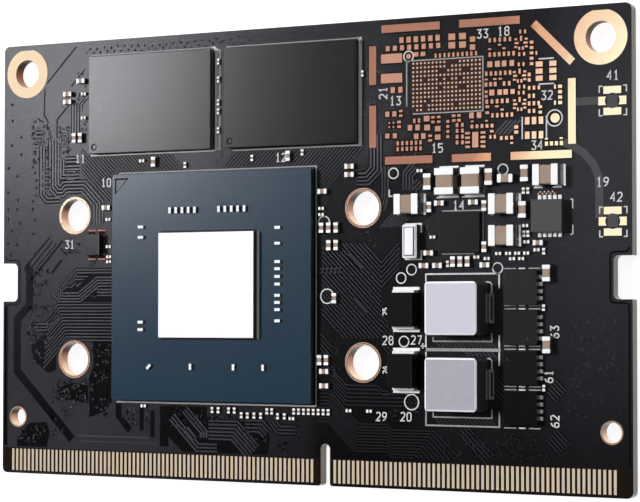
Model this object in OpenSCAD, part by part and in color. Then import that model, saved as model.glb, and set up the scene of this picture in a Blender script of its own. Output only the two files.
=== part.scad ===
// System on module: a small computer on a card with a two-sided edge connector.
// The card lies flat with its parts facing up, resting on the flash chip of its underside.
// The origin is below the middle of the card, on the surface that it lies on.

/* [Board] */
// Width of the card along the contact edge
board_w = 69.6; // [69.6:0.1:82]
// Height of the card from the contact edge to the far edge
board_h = 45; // [45:0.5:60]
// Thickness of the laminate
board_t = 1.2; // [0.8:0.1:1.6]
// Radius of the card's four corners
corner_r = 0.6; // [0.2:0.1:1]

/* [Edge connector] */
// Distance between neighbouring contacts
contact_pitch = 0.5; // [0.4:0.05:0.5]
// Width of one contact
contact_w = 0.27; // [0.2:0.01:0.36]
// Length of one contact
contact_len = 2.25; // [1.8:0.05:2.5]
// Bare strip between the contacts and the card's edge
contact_margin = 0.3; // [0.1:0.05:0.6]
// Contacts on the long side of the key slot, on each face
long_row_count = 72; // [40:1:72]
// Contacts on the short side of the key slot, on each face
short_row_count = 58; // [40:1:58]
// Key slot's distance from the middle of the card
key_x = 3.55; // [3:0.05:3.8]
// Width of the key slot
key_w = 1; // [0.8:0.05:1.2]
// Depth of the key slot
key_depth = 4.1; // [3.5:0.1:4.5]
// Radius of the key slot's two outer corners
key_mouth_r = 0.3; // [0.1:0.05:0.4]
// From the slot's middle to the nearest contact of the long row
key_to_long_row = 1.45; // [1.2:0.05:1.6]
// From the slot's middle to the nearest contact of the short row
key_to_short_row = 1.05; // [1:0.05:1.2]

/* [Latch notches] */
// Length of a notch along the card's side
notch_len = 4; // [3.5:0.1:4.5]
// Depth of a notch
notch_depth = 1.8; // [1.4:0.1:2]
// Radius of a notch's inner corners
notch_r = 0.5; // [0.3:0.1:0.8]
// From the contact edge to a notch's middle
notch_y = 20; // [18:0.5:22]

/* [Plated holes] */
// Diameter of the two fixing holes in the far corners
corner_hole_d = 2.9; // [2.2:0.1:3.2]
// Outer diameter of their rings
corner_ring_d = 5.15; // [4.5:0.05:5.4]
// From the card's side to a corner hole
corner_hole_side = 2.95; // [2.9:0.05:3]
// From the far edge to a corner hole
corner_hole_top = 3; // [2.9:0.05:3.2]
// Bare strip between a corner ring and the far edge
corner_ring_margin = 0.55; // [0.3:0.05:0.8]
// Diameter of the four cooler holes round the processor
cooler_hole_d = 3.4; // [3:0.1:3.5]
// Outer diameter of their rings
cooler_ring_d = 3.9; // [3.7:0.05:4]
// Distance between the cooler holes along the card's width
cooler_span_x = 33.4; // [33:0.1:34]
// Distance between the cooler holes along the card's height
cooler_span_y = 14.9; // [14:0.1:15.5]
// Diameter of the two guide holes near the contacts
guide_hole_d = 1.9; // [1.5:0.1:2]
// Outer diameter of their rings
guide_ring_d = 2.2; // [2.15:0.05:2.4]
// From the card's side to a guide hole
guide_hole_side = 2; // [1.6:0.1:2.4]
// From the contact edge to a guide hole
guide_hole_y = 5.9; // [5:0.1:7]
// Wall of the copper barrel in each hole
barrel_t = 0.05; // [0.03:0.01:0.08]

/* [Bare lands] */
// Thickness of the contacts, rings and bare copper lands
land_t = 0.04; // [0.02:0.01:0.06]
// Width of the bars that a shield can would be soldered to
shield_bar_w = 0.75; // [0.6:0.05:0.8]
// How much smaller a small land is than the place laid out for it
land_trim = 0.05; // [0:0.01:0.08]
// Diameter of one land in the radio chip's grid
radio_land_d = 0.21; // [0.15:0.01:0.3]
// Distance between the lands of that grid
radio_pitch = 0.405; // [0.38:0.005:0.405]
// Columns of that grid
radio_columns = 18; // [10:1:18]
// Rows of that grid
radio_rows = 12; // [8:1:12]

/* [Processor] */
// Side of the square package
processor_w = 23; // [20:0.5:23]
// Middle of the package along the card's width
processor_x = -9.05; // [-10:0.05:-8.5]
// Middle of the package along the card's height
processor_y = -3.05; // [-3.5:0.05:-3]
// Thickness of the package's substrate
substrate_t = 0.6; // [0.4:0.05:1]
// Height of the solder balls under the package
processor_ball_h = 0.35; // [0.25:0.05:0.5]
// Distance between those balls
processor_ball_pitch = 1; // [0.8:0.05:1.2]
// Width of the silicon die
die_w = 10.95; // [9:0.05:12]
// Length of the silicon die
die_h = 10.5; // [9:0.05:11]
// Height of the die over its substrate
die_t = 0.8; // [0.4:0.05:1]
// How far the die stands off the package's middle along the card's width
die_shift_x = 0.05; // [-0.5:0.05:0.5]
// How far the die stands off the package's middle along the card's height
die_shift_y = 0.12; // [-0.5:0.02:0.5]
// Width of the resin slope that seals the die's foot
underfill_w = 0.25; // [0.15:0.05:0.4]
// Height of that slope
underfill_t = 0.2; // [0.1:0.05:0.3]
// Radius of the package's corners
substrate_r = 0.25; // [0.1:0.05:0.5]

/* [Memory] */
// Long side of a memory chip
memory_w = 14.5; // [12:0.1:14.6]
// Short side of a memory chip
memory_h = 10; // [8:0.1:10]
// Thickness of a memory chip's body
memory_t = 0.7; // [0.5:0.05:1]
// Height of the solder balls under it
memory_ball_h = 0.28; // [0.2:0.02:0.4]
// Gap between the two memory chips
memory_gap = 1.6; // [1.4:0.1:1.8]
// Middle of the pair along the card's width
memory_x = -8.15; // [-9:0.05:-8]
// Bare strip between the chips and the far edge
memory_margin = 1.8; // [1.4:0.1:1.9]
// Distance between the solder balls along a memory chip's long side
memory_ball_pitch_x = 0.65; // [0.5:0.01:0.65]
// Distance between them along its short side
memory_ball_pitch_y = 0.76; // [0.6:0.01:0.76]

/* [Pin marks] */
// Diameter of the round dimple that marks a chip's first contact
pin_mark_d = 0.6; // [0.3:0.05:0.8]
// Depth of that dimple
pin_mark_depth = 0.05; // [0.03:0.01:0.1]
// From a chip's sides to the middle of its dimple
pin_mark_inset = 0.65; // [0.5:0.05:0.8]

/* [Power chips] */
// Width of the place that the power manager's neighbours leave free
manager_place_w = 4.5; // [4.2:0.1:4.6]
// Width of the power manager chip, which stands at the right of that place
manager_w = 4.1; // [3.8:0.1:4.2]
// Length of the power manager chip
manager_h = 3.8; // [3.2:0.1:3.9]
// Thickness of its body
manager_t = 0.45; // [0.3:0.05:0.8]
// Height of the solder balls under it
manager_ball_h = 0.2; // [0.15:0.05:0.3]
// Distance between those balls
manager_ball_pitch = 0.42; // [0.35:0.01:0.42]
// Side of the regulator chip
regulator_w = 3; // [2.6:0.1:3.1]
// Thickness of the regulator chip
regulator_t = 1.1; // [0.6:0.1:1.2]
// Distance between the regulator's pins
regulator_pin_pitch = 0.5; // [0.45:0.01:0.5]
// Width of one of its pins
regulator_pin_w = 0.34; // [0.2:0.02:0.36]
// How far its pins stand out
regulator_pin_len = 0.44; // [0.3:0.02:0.5]
// Width of a switching transistor
transistor_w = 3.3; // [2.8:0.1:3.4]
// Length of a switching transistor
transistor_h = 3.15; // [2.8:0.05:3.3]
// Thickness of a switching transistor
transistor_t = 0.85; // [0.6:0.05:1]
// Gap between neighbouring transistors
transistor_gap = 0.55; // [0.4:0.01:0.6]
// Distance between a transistor's pins
transistor_pin_pitch = 0.65; // [0.55:0.01:0.65]
// Width of one of its pins
transistor_pin_w = 0.36; // [0.2:0.02:0.4]
// How far its pins stand out
transistor_pin_len = 0.3; // [0.2:0.02:0.36]
// Thickness of the pins of the power chips
pin_t = 0.18; // [0.1:0.02:0.25]

/* [Inductors] */
// Width of an inductor's core
core_w = 5.3; // [4.6:0.1:5.4]
// Length of an inductor's core
core_h = 5; // [4.4:0.1:5.2]
// Height of an inductor over the board
core_t = 2.9; // [2:0.1:4]
// Radius of the core's upright edges
core_r = 0.4; // [0.3:0.05:0.6]
// Slope that breaks the core's top edges
core_edge = 0.15; // [0.1:0.05:0.25]
// Gap between the two cores
core_gap = 2.1; // [1.8:0.1:2.4]
// Thickness of the flat leads
lead_t = 0.15; // [0.1:0.01:0.2]
// Width of the flat leads
lead_w = 2.8; // [2:0.1:3.2]
// How far a lead's foot stands out from the core
lead_foot = 0.6; // [0.45:0.05:0.65]
// How far a lead is folded up along the core
lead_up = 0.7; // [0.4:0.1:1.5]
// Width of the slot in a lead's foot
lead_slot_w = 0.22; // [0.1:0.02:0.26]
// Metal left at each end of that slot
lead_slot_end = 0.3; // [0.2:0.05:0.5]

/* [Bulk capacitors] */
// Width of a moulded capacitor
bulk_w = 2.8; // [2.4:0.1:3]
// Length of a moulded capacitor's body
bulk_h = 3.2; // [3:0.1:3.4]
// Height of a moulded capacitor
bulk_t = 1.8; // [1.4:0.1:2.4]
// How far the sides of its top half lean in
bulk_draft = 0.12; // [0.05:0.01:0.2]
// How far its leads stand out at each end
bulk_lead = 0.55; // [0.4:0.05:0.6]
// Thickness of the upright part of a lead
bulk_lead_t = 0.25; // [0.15:0.05:0.3]
// Width of the upright part of a lead
bulk_lead_w = 2.3; // [1.8:0.1:2.4]
// Gap between the two capacitors' leads
bulk_gap = 1.5; // [1.3:0.1:2]

/* [Crystals] */
// Width of the oscillator can
oscillator_w = 1.6; // [1.4:0.1:1.8]
// Length of the oscillator can
oscillator_h = 2.2; // [1.8:0.1:2.4]
// Height of the oscillator can
oscillator_t = 0.85; // [0.6:0.05:1]
// Width of the tuning crystal
crystal_w = 1.5; // [1.3:0.1:1.6]
// Length of the tuning crystal
crystal_h = 3.2; // [2.8:0.1:3.3]
// Height of its ceramic base
crystal_base_t = 0.9; // [0.5:0.05:1]
// Height of its metal lid
crystal_lid_t = 0.2; // [0.1:0.05:0.5]

/* [Chip capacitors] */
// Length of a large capacitor
large_len = 2.5; // [2:0.05:2.5]
// Width of a large capacitor
large_w = 1.95; // [1.6:0.05:2]
// Height of a large capacitor
large_t = 1.4; // [1:0.1:2]
// Length of a medium capacitor
medium_len = 1.55; // [1.3:0.05:1.6]
// Width and height of a medium capacitor
medium_w = 0.8; // [0.6:0.05:0.85]
// Length of a small capacitor
small_len = 1; // [0.8:0.05:1]
// Width and height of a small capacitor
small_w = 0.5; // [0.4:0.02:0.52]
// Length of a tiny chip part
tiny_len = 0.6; // [0.5:0.02:0.6]
// Width and height of a tiny chip part
tiny_w = 0.3; // [0.24:0.02:0.32]
// Share of a part's length that each metal end takes
end_share = 0.24; // [0.15:0.01:0.3]

/* [Underside] */
// Width of the flash chip
flash_w = 11.5; // [10:0.1:11.5]
// Length of the flash chip
flash_h = 13; // [11:0.1:14]
// Thickness of the flash chip's body
flash_t = 0.65; // [0.5:0.05:1]
// Height of the solder balls over it
flash_ball_h = 0.25; // [0.2:0.05:0.35]
// Middle of the flash chip along the card's width
flash_x = -0.4; // [-1:0.1:-0.3]
// Middle of the flash chip along the card's height
flash_y = -0.5; // [-3:0.1:1]

/* [Hidden] */
$fn = 48;

// Levels: the card stands on the flash chip, and top parts stand on the card
under_z = flash_t + flash_ball_h;
top_z = under_z + board_t;
right_edge = board_w / 2;
top_edge = board_h / 2;
contact_edge = -board_h / 2;
// Cuts run past the faces that they open by this much
overcut = 1;

// Colours of the real surfaces
mask_black = [0.10, 0.10, 0.11];
gold = [0.93, 0.84, 0.62];
copper = [0.78, 0.52, 0.40];
tin = [0.86, 0.86, 0.86];
mould_black = [0.12, 0.12, 0.13];
ceramic_tan = [0.60, 0.53, 0.47];

// Anchors that groups of parts are laid out from
processor_at = [processor_x, processor_y];
processor_right = [processor_x + processor_w / 2, processor_y];
processor_left = [processor_x - processor_w / 2, processor_y];
processor_foot = [processor_x, processor_y - processor_w / 2];
memory_y = top_edge - memory_margin - memory_h / 2;
memory_step = memory_w + memory_gap;
memory_left = [memory_x - memory_step / 2 - memory_w / 2, memory_y];
memory_right = [memory_x + memory_step / 2 + memory_w / 2, memory_y];
memory_middle = [memory_x, memory_y];
memory_foot = [memory_x, memory_y - memory_h / 2];
manager_at = [right_edge - 17.05, 1.85];
manager_right = manager_at + [manager_place_w / 2, 0];
manager_left = manager_at - [manager_place_w / 2, 0];
manager_chip_at = manager_at + [(manager_place_w - manager_w) / 2, 0];
manager_head = manager_at + [0, manager_h / 2];
manager_foot = manager_at - [0, manager_h / 2];
regulator_at = [right_edge - 7.9, 3.2];
core_upper_at = [right_edge - 16.75, -5.3];
core_lower_at = core_upper_at - [0, core_h + core_gap];
bulk_upper_at = [right_edge - 22.5, -5.4];
bulk_lower_at = bulk_upper_at - [0, bulk_h + 2 * bulk_lead + bulk_gap];
transistor_top_at = [right_edge - 10.6, -3.4];
transistor_step = transistor_h + transistor_gap;
transistor_right = transistor_top_at + [transistor_w / 2, 0];
oscillator_at = processor_left + [-2.47, 4.37];
crystal_at = manager_left + [-2.5, -0.78];
radio_at = [right_edge - 26.8, top_edge - 14.5];
flash_at = [flash_x, flash_y];

function moved(spots, by) = [for (s = spots) [s[0] + by[0], s[1] + by[1], s[2]]];

// Chip parts as [x, y, turn], each group laid out from its anchor
large_spots = concat(
    moved([[-1.02, 2.9, 90], [1.63, 2.9, 90]], manager_head),
    moved([[-2.72, 2.75, 0]], manager_left),
    moved([[2.5, 2.55, 0], [2.5, -0.4, 0]], manager_right),
    moved([[0, 3.77, 0]], regulator_at)
);
medium_spots = concat(
    moved([[-3.02, 2.95, 90], [3.27, 3.22, 90], [4.93, 3.03, 0], [6.85, 3.45, 90]], manager_head),
    moved([[-2.52, 0.63, 90]], regulator_at),
    moved([[0.9, 1.33, 90], [0.9, -5.27, 90]], transistor_right)
);
small_spots = concat(
    moved([[-1.4, 2.65, 0], [-3.05, 1.35, 0], [-3.05, 0.55, 0], [-2.2, -3.25, 90], [-1.45, -3.25, 90]],
        memory_left),
    moved([[-7.8, -1.05, 90], [7.75, -1, 90]], memory_foot),
    moved([[-1.1, 8.15, 0]], processor_left),
    moved([[0.95, 9.15, 0], [3.9, 11.5, 0], [3.9, 10.7, 0], [2.25, -1.25, 90], [0.65, -7.25, 90],
        [1.4, -7.25, 90], [1.15, -8.35, 0], [1.15, -9.75, 0]], processor_right),
    moved([for (i = [0:2]) [0.85 + 0.8 * i, 5.6, 90]], processor_right),
    moved([for (i = [1:2]) [0.85 + 0.8 * i, 3.9, 90]], processor_right),
    moved([[-2.95, 0.55, 90], [-1.9, 0.9, 0], [1.6, 0.9, 0], [2.7, 0.55, 90]], manager_head),
    moved([[2.7, 0.5, 90], [-3, 0, 0], [-3.5, -1.2, 0], [-2.1, -1.2, 0], [2.75, -1.2, 0]], manager_foot),
    moved([for (i = [0:2]) [-0.5 + 0.75 * i, -0.85, 90]], manager_foot),
    moved([[-1.07, -2.45, 0]], regulator_at)
);
tiny_spots = concat(
    moved([[-1.15, 1.3, 0], [-1.15, -1.2, 0]], memory_left),
    moved([for (y = [3.75, 1.95, -0.35, -1.25, -3.15]) [-0.3, y, 90]], memory_middle),
    moved([[0.5, 1.7, 90]], memory_right),
    moved([[-9.3, -0.9, 0], [-4.15, -1.5, 90], [3.6, -1.05, 90], [9.25, -0.7, 90]], memory_foot),
    moved([[-0.95, 6.95, 0], [-0.9, 4.15, 0], [-0.85, 3.1, 0], [-0.85, 2.6, 0]], processor_left),
    moved([[0.75, 7.5, 0], [0.75, 6.9, 0]], processor_right),
    moved([for (x = [0, 0.7, 1.9, 2.55, 6.25, 6.8]) [x, -0.85, 90]], processor_foot),
    moved([for (x = [3.35, 4.05, 4.8, 5.55, 7.45, 8.2]) [x, -1.3, 90]], processor_foot),
    moved([for (i = [0:7]) [9.25 + 0.54 * i, -0.8, 90]], processor_foot),
    moved([[-8.1, -0.6, 0], [9, -1.5, 0], [15.25, -0.6, 0], [17.45, -0.6, 0]], processor_foot),
    moved([[-4, 4.05, 0]], manager_head),
    moved([[-0.4, -0.4, 0]], manager_left),
    moved([[-1.1, -1.05, 90], [1.85, -0.45, 0], [2.9, -0.6, 0]], manager_foot),
    moved([for (x = [4.05, 5.05, 5.95, 6.85]) [x, -0.15, 0]], manager_foot),
    moved([for (x = [5.45, 6.35]) [x, -0.65, 0]], manager_foot),
    moved([[-2.57, 2.4, 90], [-2.12, 2.4, 90], [-2.37, -0.85, 0], [-2.52, -1.6, 90], [-2.12, -1.6, 90],
        [-2.27, -2.35, 0], [-1.27, -3.1, 0], [-0.57, -3.25, 90]], regulator_at),
    moved([for (i = [1, 3]) [0.45, transistor_h / 2 + transistor_gap / 2 - i * transistor_step, 90]],
        transistor_right)
);
// Tiny capacitors on the processor's own substrate
processor_spots = moved(concat(
    [for (i = [0:4]) [-4.45 + 0.73 * i, 7.65, 90]],
    [for (i = [0:4]) [1.25 + 0.73 * i, 7.65, 90]],
    [for (y = [5.7, 4.15, 2.35, 1.65, 0.9, 0.15, -0.95, -1.65, -2.35, -3.45]) [7.9, y, 0]],
    [for (y = [6.05, 5, -3.6, -4.35]) [-7.9, y, 0]],
    [[-6.9, -8.1, 45]],
    [for (x = [-2, 2.95, 6.3]) [x, -8.05, 90]]
), processor_at);
// Decoupling capacitors under the processor, and coupling capacitors behind the contacts
underside_spots = concat(
    moved([for (i = [0:4], j = [0:6]) [-7.5 + 1.25 * i, -6 + 1.8 * j, 90]], processor_at),
    [for (i = [0:7]) [-29.5 + 1.1 * i, contact_edge + 4.6, 90]],
    [for (i = [0:5]) [9.5 + 1.1 * i, contact_edge + 4.6, 90]]
);

// A rectangle about the origin with round corners
module rounded_rect(w, h, r) {
    square([w - 2 * r, h], center = true);
    square([w, h - 2 * r], center = true);
    for (x = [-1, 1], y = [-1, 1])
        translate([x * (w / 2 - r), y * (h / 2 - r)]) circle(r);
}

// A block that stands on the plane z, given by its middle, width, length and height
module block(at, w, h, t, z = 0) translate([at[0], at[1], z + t / 2]) cube([w, h, t], center = true);

// A block with round upright edges
module rounded_block(at, w, h, t, r, z = 0)
    translate([at[0], at[1], z]) linear_extrude(t) rounded_rect(w, h, r);

// Places children at every spot of a chip part, turned as the spot says
module at_spots(spots, z) for (s = spots) translate([s[0], s[1], z]) rotate(s[2]) children();

// Ceramic body of a chip part: it runs through the metal ends, which are plated over it
module chip_body(len, w, t) {
    plating = w / 20;
    translate([0, 0, t / 2]) cube([len - 2 * plating, w - 2 * plating, t - 2 * plating], center = true);
}

// The two metal ends of a chip part, as caps plated over its body
module chip_ends(len, w, t) {
    end = end_share * len;
    for (side = [-1, 1]) difference() {
        translate([side * (len - end) / 2, 0, t / 2]) cube([end, w, t], center = true);
        chip_body(len, w, t);
    }
}

// A solder ball squashed between two faces that are h apart
module ball(h) intersection() {
    translate([0, 0, h / 2]) sphere(d = 1.4 * h, $fn = 24);
    cube([2 * h, 2 * h, 2 * h], center = true);
    translate([0, 0, h]) cube([2 * h, 2 * h, 2 * h], center = true);
}

// A grid of balls under a package, without the middle columns that the package leaves empty
module ball_grid(at, columns, rows, pitch_x, pitch_y, h, z, empty = 0) {
    for (i = [0:columns - 1], j = [0:rows - 1]) {
        x = (i - (columns - 1) / 2) * pitch_x;
        if (abs(x) >= empty) translate([at[0] + x, at[1] + (j - (rows - 1) / 2) * pitch_y, z]) ball(h);
    }
}

// Round the middle of the card, the places of the plated holes
corner_holes = [for (s = [-1, 1]) [s * (right_edge - corner_hole_side), top_edge - corner_hole_top]];
guide_holes = [for (s = [-1, 1]) [s * (right_edge - guide_hole_side), contact_edge + guide_hole_y]];
cooler_holes = [for (i = [-1, 1], j = [-1, 1])
    [processor_x + i * cooler_span_x / 2, processor_y + j * cooler_span_y / 2]];

module drilled(holes, d) for (p = holes) translate(p) circle(d / 2 + barrel_t);

// Laminate with rounded corners, latch notches, key slot and drilled holes
module circuit_board() color(mask_black) translate([0, 0, under_z]) linear_extrude(board_t) difference() {
    rounded_rect(board_w, board_h, corner_r);
    for (s = [-1, 1]) translate([s * (right_edge + overcut / 2), contact_edge + notch_y])
        rounded_rect(2 * notch_depth + overcut, notch_len, notch_r);
    translate([key_x, contact_edge + key_depth - key_w / 2]) circle(key_w / 2);
    translate([key_x - key_w / 2, contact_edge - overcut])
        square([key_w, key_depth - key_w / 2 + overcut]);
    for (s = [-1, 1]) translate([key_x + s * key_w / 2, contact_edge]) difference() {
        translate([s * (key_mouth_r - key_w / 2) / 2, 0])
            square([key_mouth_r + key_w / 2, 2 * key_mouth_r], center = true);
        translate([s * key_mouth_r, key_mouth_r]) circle(key_mouth_r);
    }
    drilled(corner_holes, corner_hole_d);
    drilled(cooler_holes, cooler_hole_d);
    drilled(guide_holes, guide_hole_d);
}

// A row of gold contacts that runs away from the key slot
module contact_row(count, first, way, z) color(gold)
    for (i = [0:count - 1])
        block([key_x + way * (first + i * contact_pitch), contact_edge + contact_margin + contact_len / 2],
            contact_w, contact_len, land_t, z);
module long_contact_row_top() contact_row(long_row_count, key_to_long_row, -1, top_z);
module short_contact_row_top() contact_row(short_row_count, key_to_short_row, 1, top_z);
module long_contact_row_underside() contact_row(long_row_count, key_to_long_row, -1, under_z - land_t);
module short_contact_row_underside() contact_row(short_row_count, key_to_short_row, 1, under_z - land_t);

// Copper barrel through the card with a ring on each face
module plated_hole(hole_d, ring_d) difference() {
    union() {
        translate([0, 0, under_z - land_t]) cylinder(d = ring_d, h = land_t);
        translate([0, 0, top_z]) cylinder(d = ring_d, h = land_t);
        translate([0, 0, under_z - land_t]) cylinder(d = hole_d + 2 * barrel_t, h = board_t + 2 * land_t);
    }
    translate([0, 0, under_z - overcut]) cylinder(d = hole_d, h = board_t + 2 * overcut);
}
// The corner rings are cut flat where they near the far edge
module corner_hole_plating() color(gold) for (p = corner_holes) difference() {
    translate([p[0], p[1], 0]) plated_hole(corner_hole_d, corner_ring_d);
    translate([p[0] - corner_ring_d / 2, top_edge - corner_ring_margin, 0])
        cube([corner_ring_d, corner_ring_d, 2 * top_z]);
}
module cooler_hole_plating() color(gold)
    for (p = cooler_holes) translate([p[0], p[1], 0]) plated_hole(cooler_hole_d, cooler_ring_d);
module guide_hole_plating() color(gold)
    for (p = guide_holes) translate([p[0], p[1], 0]) plated_hole(guide_hole_d, guide_ring_d);

// A bare bar, in the radio section's own coordinates
module bar(x, y, w, h) block(radio_at + [x, y], w, h, land_t, top_z);
// A small bare land, trimmed a little all round
module land(x, y, w, h) bar(x, y, w - land_trim, h - land_trim);
// Lands in a row, given by the first one's middle
module land_row(x, y, count, step, w, h) for (i = [0:count - 1]) land(x + i * step, y, w, h);
// Lands in a column, given by the lowest one's middle
module land_column(x, y, count, step, w, h) for (i = [0:count - 1]) land(x, y + i * step, w, h);

// Bars round the empty radio section, where its shield can would stand
shield_left = 0.68;
shield_right = 21.05;
shield_foot = 0.88;
shield_head = 13.58;
module shield_frame_lands() color(copper) {
    for (x = [4.7, 12.85]) bar(x, shield_head, 6.15, shield_bar_w);
    bar(shield_left, 10.12, shield_bar_w, 3.75);
    bar(shield_left, 4.22, shield_bar_w, 4.05);
    bar(4.5, shield_foot, 5, shield_bar_w);
    bar(11, shield_foot, 4, shield_bar_w);
    bar(18, shield_foot, 6.05, shield_bar_w);
    bar(shield_right, 4.82, shield_bar_w, 6.05);
    translate([radio_at[0] + 19.2, radio_at[1] + 11.25, top_z]) rotate(-45)
        block([0, 0], 5.4, shield_bar_w, land_t);
}

// Round lands of the radio chip's ball grid, with a few places left out
radio_gaps = [[9, 11], [10, 11], [11, 11], [9, 10], [7, 9], [8, 9], [13, 9], [14, 9], [3, 7], [7, 7], [9, 7],
    [12, 7], [7, 5], [12, 5], [13, 5], [4, 2], [3, 1], [11, 1], [0, 0], [3, 0]];
module radio_chip_lands() color(copper)
    for (i = [0:radio_columns - 1], j = [0:radio_rows - 1])
        if (len([for (g = radio_gaps) if (g == [i, j]) g]) == 0)
            translate([radio_at[0] + 5 + i * radio_pitch, radio_at[1] + 5.6 + j * radio_pitch, top_z])
                cylinder(d = radio_land_d, h = land_t, $fn = 24);

// One of the three like amplifier stages: a cross-shaped land with two part lands above it
module stage_lands(x, y) {
    for (side = [-1, 1]) {
        land(x + 0.18 * side, y - 0.5, 0.24, 0.36);
        land_column(x + 0.52 * side, y - 0.36, 2, 0.72, 0.34, 0.24);
        land(x + 0.45 * side, y, 0.46, 0.24);
    }
    land(x, y + 0.42, 0.26, 0.52);
    land_row(x - 0.08, y + 1.05, 2, 0.48, 0.25, 0.4);
}

// Bare lands of the parts round the radio chip
module radio_part_lands() color(copper) {
    // left of the chip
    land_column(2.7, 8.8, 2, 1.9, 2.3, 0.95);
    land_row(2.83, 7.65, 2, 0.8, 0.5, 0.62);
    land_row(2.25, 5.35, 2, 0.75, 0.48, 0.56);
    land_column(3.68, 5.15, 2, 0.45, 0.42, 0.28);
    for (y = [4.1, 4.5]) land_row(2.45, y, 2, 0.45, 0.22, 0.25);
    land_column(3.5, 4.1, 2, 0.45, 0.45, 0.28);
    land_row(2.25, 3.25, 2, 0.8, 0.48, 0.52);
    // above the chip
    land_row(3.75, 12.4, 6, 0.76, 0.5, 0.6);
    land_row(2.29, 11.67, 8, 0.76, 0.46, 0.54);
    land_row(5.29, 10.95, 2, 0.72, 0.55, 0.46);
    land_row(7.33, 10.7, 10, 0.463, 0.28, 0.46);
    for (y = [11.6, 12.4]) land_row(9.02, y, 2, 1.1, 0.75, 0.65);
    land_column(11.15, 11.3, 2, 0.75, 0.6, 0.55);
    // below the chip
    land_row(5.1, 4.6, 2, 0.5, 0.3, 0.48);
    land(6.4, 4.75, 0.65, 0.58);
    for (y = [4.4, 4.85]) land_row(7.05, y, 2, 0.6, 0.42, 0.28);
    land_row(4.65, 3.95, 2, 0.8, 0.52, 0.6);
    land(6.45, 3.9, 0.65, 0.58);
    land_row(5.3, 3.1, 2, 0.75, 0.52, 0.58);
    land_column(6.75, 2.65, 2, 0.45, 0.46, 0.27);
    land_column(7.55, 2.95, 2, 0.8, 0.62, 0.55);
    land_column(8.6, 2.95, 4, 0.48, 0.36, 0.32);
    for (y = [1.95, 2.5]) land_row(3.36, y, 6, 0.48, 0.3, 0.44);
    for (y = [4.45, 4.9]) land_row(9.2, y, 2, 0.55, 0.42, 0.3);
    land_row(11.03, 4.85, 2, 0.77, 0.5, 0.6);
    for (x = [9.55, 10.1]) land_column(x, 2.35, 4, 0.55, 0.32, 0.42);
    // a small chip with a heat land in its middle
    for (x = [10.62, 12.2]) land_column(x, 1.9, 4, 0.43, 0.54, 0.28);
    land(11.41, 2.55, 0.66, 1.5);
    land_row(11.08, 3.8, 5, 0.51, 0.34, 0.4);
    land_row(11.1, 4.28, 2, 1.45, 0.34, 0.2);
    land(13.1, 3.28, 0.44, 0.28);
    land_row(12.95, 2.75, 2, 0.45, 0.28, 0.4);
    land_row(14.05, 2.6, 3, 0.52, 0.34, 0.4);
    land_column(15.55, 3.1, 2, 0.47, 0.46, 0.36);
    // right of the chip: three amplifier stages and the switches that join them
    for (y = [5.7, 8.35]) stage_lands(15.9, y);
    stage_lands(16.05, 11.4);
    for (y = [7.3, 10.35]) land_row(15.87, y, 2, 0.49, 0.25, 0.4);
    // rows of part lands left of the upper stage
    land_row(12.9, 11.83, 5, 0.51, 0.3, 0.46);
    land(13.9, 11.36, 0.38, 0.22);
    land_row(12.9, 11, 2, 1.44, 0.38, 0.22);
    land_row(12.9, 10.47, 6, 0.48, 0.3, 0.46);
    land_row(12.9, 9.57, 2, 0.77, 0.56, 0.6);
    land_row(14.35, 9.57, 2, 0.77, 0.5, 0.6);
    // rows left of the middle stage
    land_row(12.54, 8.69, 6, 0.48, 0.3, 0.46);
    land(12.54, 8.16, 0.38, 0.22);
    land_row(13.41, 8.16, 2, 0.55, 0.38, 0.22);
    land_row(12.51, 7.69, 3, 0.47, 0.34, 0.46);
    land_row(14.34, 7.69, 2, 0.52, 0.3, 0.46);
    land_column(12.53, 6.57, 2, 0.43, 0.34, 0.3);
    land(13.1, 6.9, 0.56, 0.6);
    land_row(13.9, 6.9, 2, 0.6, 0.5, 0.56);
    land(15.2, 6.9, 0.46, 0.5);
    // rows left of the lower stage
    land_row(12.59, 6.07, 5, 0.52, 0.32, 0.46);
    land_column(12.64, 5.04, 2, 0.55, 0.42, 0.3);
    land(13.6, 5.59, 0.4, 0.22);
    land(14.14, 5.26, 0.38, 0.22);
    land_row(13.16, 4.75, 5, 0.49, 0.3, 0.46);
    land(15.1, 2.1, 0.36, 0.22);
    // right of the stages
    land(17.58, 10.37, 0.22, 0.4);
    land_column(16.86, 7.9, 2, 0.5, 0.34, 0.38);
    for (x = [17.85, 19.2]) land_column(x, 8, 3, 0.66, 0.74, 0.54);
    for (y = [2.75, 4.1]) land_row(16.65, y, 3, 0.68, 0.5, 0.74);
    land_column(17.1, 9.4, 5, 0.5, 0.4, 0.32);
    land_row(16.85, 7.15, 3, 0.48, 0.3, 0.42);
    land_row(16.85, 6.4, 2, 0.45, 0.28, 0.44);
    land_row(16.85, 5.7, 3, 0.47, 0.3, 0.44);
    land_row(16.85, 5, 2, 0.47, 0.3, 0.42);
    land_column(17.95, 4.85, 2, 0.5, 0.4, 0.32);
    land_column(19.9, 5.65, 4, 0.5, 0.44, 0.36);
    for (y = [5.65, 7.15]) land(19.4, y, 0.24, 0.44);
    land_row(18.55, 1.9, 4, 0.49, 0.36, 0.44);
    land_row(18.55, 2.36, 2, 1.45, 0.36, 0.22);
    translate([radio_at[0] + 19.4, radio_at[1] + 4.25, top_z]) cylinder(d = 0.9, h = land_t);
    translate([radio_at[0] + 4.5, radio_at[1] + 10.8, top_z]) cylinder(d = 0.5, h = land_t);
}

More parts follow.
